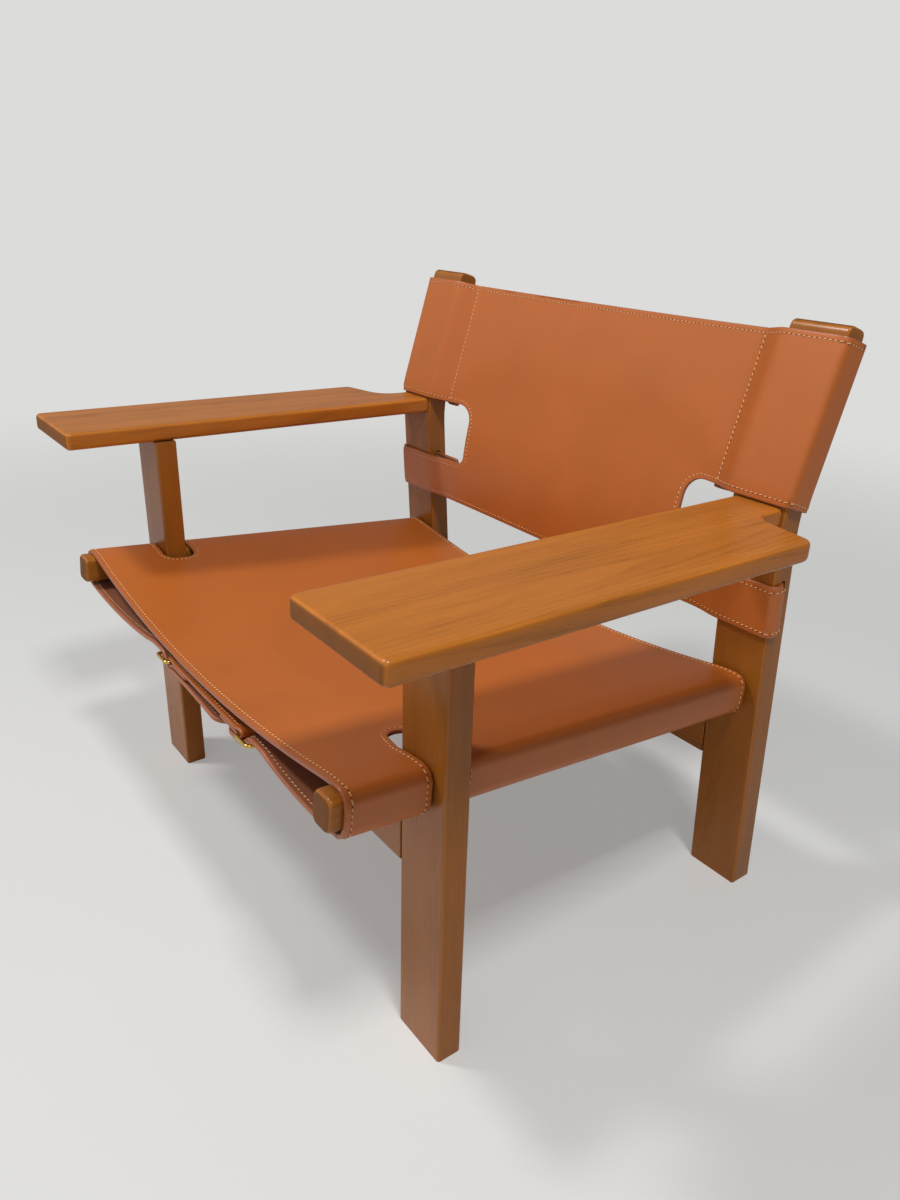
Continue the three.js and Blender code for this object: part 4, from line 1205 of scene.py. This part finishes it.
class BackShape:
    """How the back sling hangs: a panel, and beyond its seams a sleeve above and a tongue below."""

    def __init__(self):
        self.panel_x = np.linspace(0, SEAM_X, num=22)
        self.beyond = {"sleeve": sleeve_half(), "tongue": tongue_half()}
        self.runs = {}
        for kind, depth in (("sleeve", SLEEVE_DEPTH), ("tongue", TONGUE_DEPTH)):
            tail = run_lengths(np.vstack([(SEAM_X, depth), self.beyond[kind]]))[1:]
            self.runs[kind] = np.concatenate([self.panel_x, SEAM_X + tail])
        self.lines = {}

    def line(self, height):
        """Distances along the section on the left side at a height, the section and its normals."""
        if height not in self.lines:
            kind = "sleeve" if height > (SLEEVE_BOTTOM + TONGUE_TOP) / 2 else "tongue"
            panel = np.column_stack((self.panel_x, [panel_depth(x, height) for x in self.panel_x]))
            points = np.vstack([panel, self.beyond[kind]])
            normals = -side_normals(points)
            normals[0] = (0, -1)
            self.lines[height] = (self.runs[kind], points, normals)
        return self.lines[height]

    def place(self, s, height, lift):
        """A point of the pattern in space, lifted off the middle of the hide towards the sitter."""
        x, depth = beside(abs(s), *self.line(round(float(height), 3)), lift)
        return post_point(math.copysign(x, s), height, depth)

    def at(self, x):
        """Place in the pattern of a point on the strap behind the left post."""
        points, runs = self.beyond["tongue"], self.runs["tongue"][len(self.panel_x):]
        outer = np.argmax(points[:, 0])
        return run_at(x, points[outer:], runs[outer:])

    def top(self, side):
        """Height of one end of the top edge, which isn't quite level."""
        return BACK_TOP + side * BACK_TOP_TILT

    def half_outline(self, side):
        """Corners of one half of the flat hide, from its lower edge to its top edge."""
        root, tip = self.at(BACK_TAB_ROOT_X), self.runs["tongue"][-1]
        across, runs = self.beyond["sleeve"][:, 0], self.runs["sleeve"][len(self.panel_x):]
        outside = np.flatnonzero(np.isclose(across, across.max()))
        front, rear, end = runs[outside[0]], runs[outside[-1]], runs[-1]
        low, high = TONGUE_MIDDLE - TAB_WIDTH / 2, TONGUE_MIDDLE + TAB_WIDTH / 2
        corners = [
            (SEAM_X, TONGUE_BOTTOM, BACK_LOWER_SWEEP),
            (root, TONGUE_BOTTOM, BACK_TAB_CORNER),
            (root, low, BACK_TAB_ROOT_ROUND),
            (tip, low, TIP_ROUND),
            (tip, high, TIP_ROUND),
            (root, high, BACK_TAB_ROOT_ROUND),
            (root, TONGUE_TOP, BACK_TAB_CORNER),
            (NOTCH_X, TONGUE_TOP, NOTCH_ROUND_BOTTOM),
            (NOTCH_X, SLEEVE_BOTTOM, NOTCH_ROUND_TOP),
            (front, SLEEVE_BOTTOM, SLEEVE_CORNER),
            (rear, SLEEVE_REAR_BOTTOM, SLEEVE_CORNER),
            (end, SLEEVE_REAR_BOTTOM, SEAM_CORNER),
            (end, self.top(side), SEAM_CORNER),
        ]
        return [(side * s, height, radius) for s, height, radius in corners]

    def loops(self):
        """Outline of the flat hide and its prong slots."""
        top = (0, BACK_TOP + BACK_TOP_CROWN, BACK_TOP_SWEEP)
        belly = (0, TONGUE_BOTTOM - BACK_BELLY, BACK_BELLY_SWEEP)
        outline = [*self.half_outline(1), top, *self.half_outline(-1)[::-1], belly]
        heel = heel_bar("back", "left").x
        begin, end = (self.at(heel + reach) for reach in PRONG_SLOT)
        slots = [slot_loop(side * begin, side * end, TONGUE_MIDDLE) for side in SIDES.values()]
        return [rounded_loop(outline, OUTLINE_STEP), *slots]

    def stitches(self):
        """A row along the outline and one up each seam."""
        inset = sizes().stitch_inset / MM
        runs = stitch_line(inset_loop(self.loops()[0], inset), True)
        for side in SIDES.values():
            seam = side * (SEAM_X - SEAM_STITCH_INSET)
            runs += stitch_line([(seam, SLEEVE_BOTTOM + inset), (seam, self.top(side) - inset)], False)
        return runs

    def rows(self):
        """Heights of the mesh's rows, closer where the posts bend."""
        below = np.linspace(TONGUE_BOTTOM, -POST_BEND_EASE, num=12)
        bend = np.linspace(-POST_BEND_EASE, POST_BEND_EASE, num=13)
        above = np.linspace(POST_BEND_EASE, BACK_TOP, num=13)
        return np.concatenate([below[:-1], bend, above[1:]])

    def columns(self):
        """Places across the pattern of the mesh's columns."""
        both = np.unique(np.concatenate([self.runs["sleeve"], self.runs["tongue"]]).round(2))
        spaced = [both[0]]
        for s in both[1:]:
            if s - spaced[-1] > NARROWEST_COLUMN:
                spaced.append(s)
        return np.concatenate([-np.array(spaced[:0:-1]), spaced])


# Belts and buckles


def belt_matrix(label):
    """The frame of a belt: x across the chair, y along its width, z away from the face of the buckles."""
    across, width = Vector((1, 0, 0)), Vector(JOINTS[f"prong_{label}_left_swing"]["axis"])
    matrix = Matrix((across, width, across.cross(width))).transposed().to_4x4()
    matrix.translation = heel_bar(label, "left") * Vector((0, 1, 1))
    return matrix


class BeltShape:
    """A strap folded round a buckle's heel bar at each end and sewn back on itself."""

    def __init__(self, label):
        self.matrix = belt_matrix(label)
        left, right = (heel_across(label, hand) for hand in SIDES)
        middle = (left + right) / 2
        reach = left - middle
        half = BELT_PLY / 2 + BELT_PLY_SLACK
        eye = EYE_BORE + BELT_PLY / 2
        part, corner = (reach - BELT_PART, half), (reach - BELT_PART_CORNER, half)
        parted = easy_corner(part, corner, (reach - BELT_PART_END, eye * BELT_PART_RISE), steps=5)
        back = np.linspace(part, (reach - BELT_FOLD, half), num=5)
        end = np.vstack(
            [
                np.linspace((0, half), part, num=8),
                parted[1:],
                arc((reach, 0), eye, BELT_EYE_TURN, -BELT_EYE_TURN, steps=16),
                parted[-2::-1] * (1, -1),
                back[1:] * (1, -1),
            ]
        )
        self.line = np.vstack([end[:0:-1] * (-1, 1), end]) + (middle, 0)
        self.runs = run_lengths(self.line)
        self.normals = side_normals(self.line)
        self.eye_half = math.radians(BELT_EYE_TURN) * eye

    def place(self, s, t, height):
        """A point of the pattern in space, a height above the middle of the ply."""
        x, z = beside(s, self.runs, self.line, self.normals, height)
        return self.matrix @ Vector((x, t, z))

    def eyes(self):
        """Places in the pattern of the two folds."""
        return self.runs[np.argmin(self.line[:, 0])], self.runs[np.argmax(self.line[:, 0])]

    def loops(self):
        """Outline of the flat strap and its prong slots."""
        half, length = TAB_WIDTH / 2, self.runs[-1]
        corners = [(0, -half), (length, -half), (length, half), (0, half)]
        outline = rounded_loop([(*corner, BELT_CORNER) for corner in corners], BELT_STEP)
        slots = [slot_loop(eye - EYE_SLOT_LENGTH / 2, eye + EYE_SLOT_LENGTH / 2, 0) for eye in self.eyes()]
        return [outline, *slots]

    def stitches(self):
        """Two rows along the strap and a row across it at each fold."""
        edge = TAB_WIDTH / 2 - BELT_STITCH_INSET
        clear = self.eye_half + BELT_STITCH_CLEAR
        near, far = self.eyes()
        begin, end = near + clear, far - clear
        runs = []
        for t in (-edge, edge):
            runs += stitch_line([(begin, t), (end, t)], False)
        for s in (begin, end):
            runs += stitch_line([(s, -edge), (s, edge)], False)
        return runs


def build_buckle(label, hand, brass):
    """A buckle frame: one rod bent to a rounded rectangle."""
    heel = heel_across(label, hand)
    half = (TAB_WIDTH + BUCKLE_ROD) / 2 + BUCKLE_CLEAR
    near, far = sorted((heel, heel + SIDES[hand] * BUCKLE_PITCH))
    corners = [(near, -half), (far, -half), (far, half), (near, half)]
    path = rounded_loop([(*corner, BUCKLE_ROUND) for corner in corners], BUCKLE_STEP)
    forward = unit_rows(np.roll(path, -1, axis=0) - np.roll(path, 1, axis=0))
    outward = np.column_stack((forward[:, 1], -forward[:, 0]))
    section = squarer(round_waves(BUCKLE_SIDES), ROD_POWER) * BUCKLE_ROD / 2
    matrix = belt_matrix(label)
    places = []
    for spot, out in zip(path, outward):
        places += [matrix @ Vector((*(spot + out * across), up)) for across, up in section]
    faces = tube_faces(0, len(path), BUCKLE_SIDES, closed=True)
    return new_piece(f"brass_buckle_{label}_{hand}", places, faces, [0] * len(faces), [brass])


def build_prong(label, hand, brass):
    """A buckle prong: a flat loop round the heel bar, drawn out into a rod that thins to its tip."""
    heel = Matrix.Translation((heel_across(label, hand), 0, 0))
    turn = Matrix.Rotation(0 if hand == "left" else math.pi, 4, "Z")
    matrix = belt_matrix(label) @ heel @ turn @ Matrix.Rotation(PRONG_REST, 4, "Y")
    band = (PRONG_RING - EYE_BORE) / 2
    section = squarer(round_waves(PRONG_SIDES), PRONG_BAND_POWER) * (band, PRONG_WIDTH / 2)
    spots = []
    for c, s in round_waves(PRONG_RING_STEPS):
        spots += [((EYE_BORE + band + out) * c, y, (EYE_BORE + band + out) * s) for out, y in section]
    # The loop's section runs the other way round than the rod's, so its faces are turned over
    loop_faces = tube_faces(0, PRONG_RING_STEPS, PRONG_SIDES, closed=True)
    faces = [(face[0], *face[:0:-1]) for face in loop_faces]
    faces += tube_faces(len(spots), len(PRONG_PROFILE), PRONG_SIDES, closed=False)
    rod = squarer(round_waves(PRONG_SIDES), ROD_POWER) * PRONG_ROD / 2
    for x, swell in PRONG_PROFILE:
        spots += [(x, y, z) for y, z in rod * swell]
    places = [matrix @ Vector(spot) for spot in spots]
    return new_piece(f"brass_prong_{label}_{hand}", places, faces, [0] * len(faces), [brass])


def declare_hide(hide, stitches, node):
    """Attaches a hide and its stitching to the chair's body, and hides the part of the frame that they
    replace.
    """
    for piece in (hide, stitches):
        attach(piece, ROOT_BODY)
    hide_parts(node)


# Operators


class SLINGCHAIR_OT_wood(bpy.types.Operator):
    """Finish the boards of the wooden frame"""

    bl_idname = "sling_chair.wood"
    bl_label = "Finish the wood"

    def execute(self, context):
        for name, (colour, grain, pith, tilt, figure) in PAIRED_BOARDS.items():
            for hand, side in SIDES.items():
                log = (side * pith[0], *pith[1:])
                self.finish(f"{name}_{hand}", colour, grain, log, tilt * side, figure)
        for name, wood in SINGLE_BOARDS.items():
            self.finish(name, *wood)
        return {"FINISHED"}

    def finish(self, name, colour, *wood):
        """Gives a board its wood, and shades its rounded edges smoothly."""
        board = frame["nodes"][name]
        board.data.materials.clear()
        board.data.materials.append(stained_ash(name, getattr(colours(), colour), *wood))
        custom = board.data.attributes.get("custom_normal")
        if custom:
            board.data.attributes.remove(custom)
        board.data.polygons.foreach_set("use_smooth", [True] * len(board.data.polygons))
        weld = board.modifiers.new("weld", "WELD")
        weld.merge_threshold = WELD_GAP * MM
        flat = board.modifiers.new("flat_faces", "DECIMATE")
        flat.decimate_type = "DISSOLVE"
        flat.angle_limit = FLAT_TURN
        eased = board.modifiers.new("eased_edges", "BEVEL")
        eased.width = EASED_EDGE * MM
        eased.segments = EASED_SEGMENTS
        eased.limit_method = "ANGLE"
        eased.angle_limit = EASED_LEAST_TURN
        normals = board.modifiers.new("even_shading", "WEIGHTED_NORMAL")
        normals.keep_sharp = True


class SLINGCHAIR_OT_seat_sling(bpy.types.Operator):
    """Make the seat sling and its stitching"""

    bl_idname = "sling_chair.seat_sling"
    bl_label = "Make the seat sling"

    def execute(self, context):
        shape = SeatShape()
        hide = sizes().hide / MM
        loops = shape.loops()
        rows = np.linspace(SEAT_FRONT, SEAT_REAR, num=36)
        leathers = hide_materials()
        declare_hide(
            build_hide("leather_seat_sling", shape, loops, shape.runs, rows, hide, leathers),
            build_stitches("seat_stitching", shape, shape.stitches(), hide),
            node="seat_sling",
        )
        return {"FINISHED"}


class SLINGCHAIR_OT_back_sling(bpy.types.Operator):
    """Make the back sling and its stitching"""

    bl_idname = "sling_chair.back_sling"
    bl_label = "Make the back sling"

    def execute(self, context):
        shape = BackShape()
        hide = sizes().hide / MM
        loops = shape.loops()
        leathers = hide_materials()
        declare_hide(
            build_hide("leather_back_sling", shape, loops, shape.columns(), shape.rows(), hide, leathers),
            build_stitches("back_stitching", shape, shape.stitches(), hide),
            node="back_sling",
        )
        return {"FINISHED"}


class SLINGCHAIR_OT_belts(bpy.types.Operator):
    """Make the belts that join the strap ends"""

    bl_idname = "sling_chair.belts"
    bl_label = "Make the belts"

    def execute(self, context):
        leathers = hide_materials()
        for label in BELTS:
            shape = BeltShape(label)
            loops = shape.loops()
            rows = np.linspace(-TAB_WIDTH / 2, TAB_WIDTH / 2, num=8)
            declare_hide(
                build_hide(f"leather_belt_{label}", shape, loops, shape.runs, rows, BELT_PLY, leathers),
                build_stitches(f"belt_stitching_{label}", shape, shape.stitches(), BELT_PLY, (1,)),
                node=f"belt_strap_{label}",
            )
        return {"FINISHED"}


class SLINGCHAIR_OT_buckles(bpy.types.Operator):
    """Make the brass buckles and their prongs"""

    bl_idname = "sling_chair.buckles"
    bl_label = "Make the buckles"

    def execute(self, context):
        brass = polished_brass()
        for label in BELTS:
            for hand in SIDES:
                buckle = build_buckle(label, hand, brass)
                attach(buckle, ROOT_BODY)
                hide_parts(f"buckle_frame_{label}_{hand}")
                prong = build_prong(label, hand, brass)
                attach(prong, JOINTS[f"prong_{label}_{hand}_swing"]["child"])
                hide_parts(f"buckle_prong_{label}_{hand}")
        return {"FINISHED"}


class SLINGCHAIR_OT_stage(bpy.types.Operator):
    """Set the floor, the lights and the camera"""

    bl_idname = "sling_chair.stage"
    bl_label = "Set the stage"

    def execute(self, context):
        settings = stage_settings()
        self.floor(settings)
        self.surroundings(context, settings)
        for name, (place, power) in LAMPS.items():
            self.lamp(context, name, place, getattr(settings, power))
        self.camera(context)
        return {"FINISHED"}

    def seen(self, tree):
        """How much of the backdrop a ray meets: all when it comes from the eye, a share when mirrored."""
        rays = add_node(tree, "LightPath").outputs
        seen = add_node(tree, "Math", {0: rays["Is Glossy Ray"], 1: MIRRORED_SHARE}, operation="MULTIPLY")
        for kind in ("Is Camera Ray", "Is Transmission Ray"):
            seen = add_node(tree, "Math", {0: seen, 1: rays[kind]}, operation="MAXIMUM")
        return seen

    def floor(self, settings):
        """A wide sealed concrete floor, pale and faintly clouded, which runs out into the backdrop."""
        material, tree = new_material("sealed_concrete_floor")
        cloud_mm = 500
        tone, _ = mottle(tree, settings.floor, cloud_mm, 0.96, 1.03)
        concrete = add_node(tree, "BsdfPrincipled", {"Base Color": tone, "Roughness": 0.45, "IOR": 1.45})
        place = add_node(tree, "TexCoord").outputs["Object"]
        fading = {
            "Value": add_node(tree, "VectorMath", {0: place}, operation="LENGTH"),
            "From Min": FLOOR_FADE_FROM * MM,
            "From Max": FLOOR_FADE_TO * MM,
            "To Min": FLOOR_FADE_LEAST,
        }
        far = add_node(tree, "MapRange", fading, interpolation_type="SMOOTHSTEP")
        fade = add_node(tree, "Math", {0: far, 1: self.seen(tree)}, operation="MULTIPLY")
        backdrop = add_node(tree, "Emission", {"Color": settings.backdrop})
        shader = add_node(tree, "MixShader", {0: fade, 1: concrete, 2: backdrop})
        add_node(tree, "OutputMaterial", {"Surface": shader})
        half = FLOOR_HALF
        corners = [(-half, -half, 0), (half, -half, 0), (half, half, 0), (-half, half, 0)]
        new_piece("floor", corners, [(0, 1, 2, 3)], [0], [material])

    def surroundings(self, context, settings):
        """A dim room with a bright strip in front of the chair, and a plain backdrop for the eye."""
        world = bpy.data.worlds.new("studio")
        world.use_nodes = True
        tree = world.node_tree
        tree.nodes.clear()
        towards = add_node(tree, "TexCoord").outputs["Generated"]
        sides = add_node(tree, "SeparateXYZ", {0: towards}).outputs
        strength = settings.strip
        for axis, begin, end in STRIP_EDGES:
            fading = {"Value": sides[axis], "From Min": begin, "From Max": end}
            edge = add_node(tree, "MapRange", fading, interpolation_type="SMOOTHSTEP")
            strength = add_node(tree, "Math", {0: strength, 1: edge}, operation="MULTIPLY")
        strength = add_node(tree, "Math", {0: strength, 1: settings.ambient}, operation="ADD")
        light = add_node(tree, "Background", {"Color": linear("#FFFFFF"), "Strength": strength})
        backdrop = add_node(tree, "Background", {"Color": settings.backdrop})
        mixed = add_node(tree, "MixShader", {0: self.seen(tree), 1: light, 2: backdrop})
        add_node(tree, "OutputWorld", {"Surface": mixed})
        context.scene.world = world
        context.scene.view_settings.view_transform = "Standard"

    def lamp(self, context, name, place, power):
        """A square soft light that looks at the seat."""
        light = bpy.data.lights.new(name, "AREA")
        light.size = LAMP_SIZE * MM
        light.energy = power
        lamp = bpy.data.objects.new(name, light)
        lamp.location = Vector(place) * MM
        lamp.rotation_euler = (SEAT_ORIGIN - Vector(place)).to_track_quat("-Z", "Y").to_euler()
        context.scene.collection.objects.link(lamp)

    def camera(self, context):
        """The photograph's camera."""
        data = bpy.data.cameras.new("photo_camera")
        data.lens = CAMERA_LENS
        camera = bpy.data.objects.new("photo_camera", data)
        level, rise = math.cos(CAMERA_PITCH), math.sin(CAMERA_PITCH)
        forward = Vector((-math.sin(CAMERA_YAW) * level, math.cos(CAMERA_YAW) * level, rise))
        right = forward.cross(Vector((0, 0, 1))).normalized()
        up = right.cross(forward)
        c, s = math.cos(CAMERA_ROLL), math.sin(CAMERA_ROLL)
        turned = Matrix((right * c + up * s, up * c - right * s, -forward)).transposed().to_4x4()
        turned.translation = Vector(CAMERA_PLACE) * MM
        camera.matrix_world = turned
        context.scene.collection.objects.link(camera)
        context.scene.camera = camera


OPERATORS = (
    SLINGCHAIR_OT_stage,
    SLINGCHAIR_OT_wood,
    SLINGCHAIR_OT_seat_sling,
    SLINGCHAIR_OT_back_sling,
    SLINGCHAIR_OT_belts,
    SLINGCHAIR_OT_buckles,
)


class SLINGCHAIR_PT_panel(bpy.types.Panel):
    """Sizes, colours and steps of the sling chair"""

    bl_idname = "SLINGCHAIR_PT_panel"
    bl_label = "Sling Chair"
    bl_space_type = "VIEW_3D"
    bl_region_type = "UI"
    bl_category = "Sling Chair"

    def draw(self, context):
        for group in (sizes(), colours(), stage_settings()):
            box = self.layout.box()
            for name in group.__annotations__:
                box.prop(group, name)
        for operator in OPERATORS:
            self.layout.operator(operator.bl_idname)


CLASSES = (ChairSizes, ChairColours, ChairStage, *OPERATORS, SLINGCHAIR_PT_panel)


def register():
    for cls in CLASSES:
        bpy.utils.register_class(cls)
    bpy.types.Scene.sling_chair_sizes = bpy.props.PointerProperty(type=ChairSizes)
    bpy.types.Scene.sling_chair_colours = bpy.props.PointerProperty(type=ChairColours)
    bpy.types.Scene.sling_chair_stage = bpy.props.PointerProperty(type=ChairStage)


def unregister():
    del bpy.types.Scene.sling_chair_stage
    del bpy.types.Scene.sling_chair_colours
    del bpy.types.Scene.sling_chair_sizes
    for cls in reversed(CLASSES):
        bpy.utils.unregister_class(cls)


def main():
    register()
    for operator in OPERATORS:
        getattr(bpy.ops.sling_chair, operator.bl_idname.split(".")[1])()


if __name__ == "__main__":
    main()
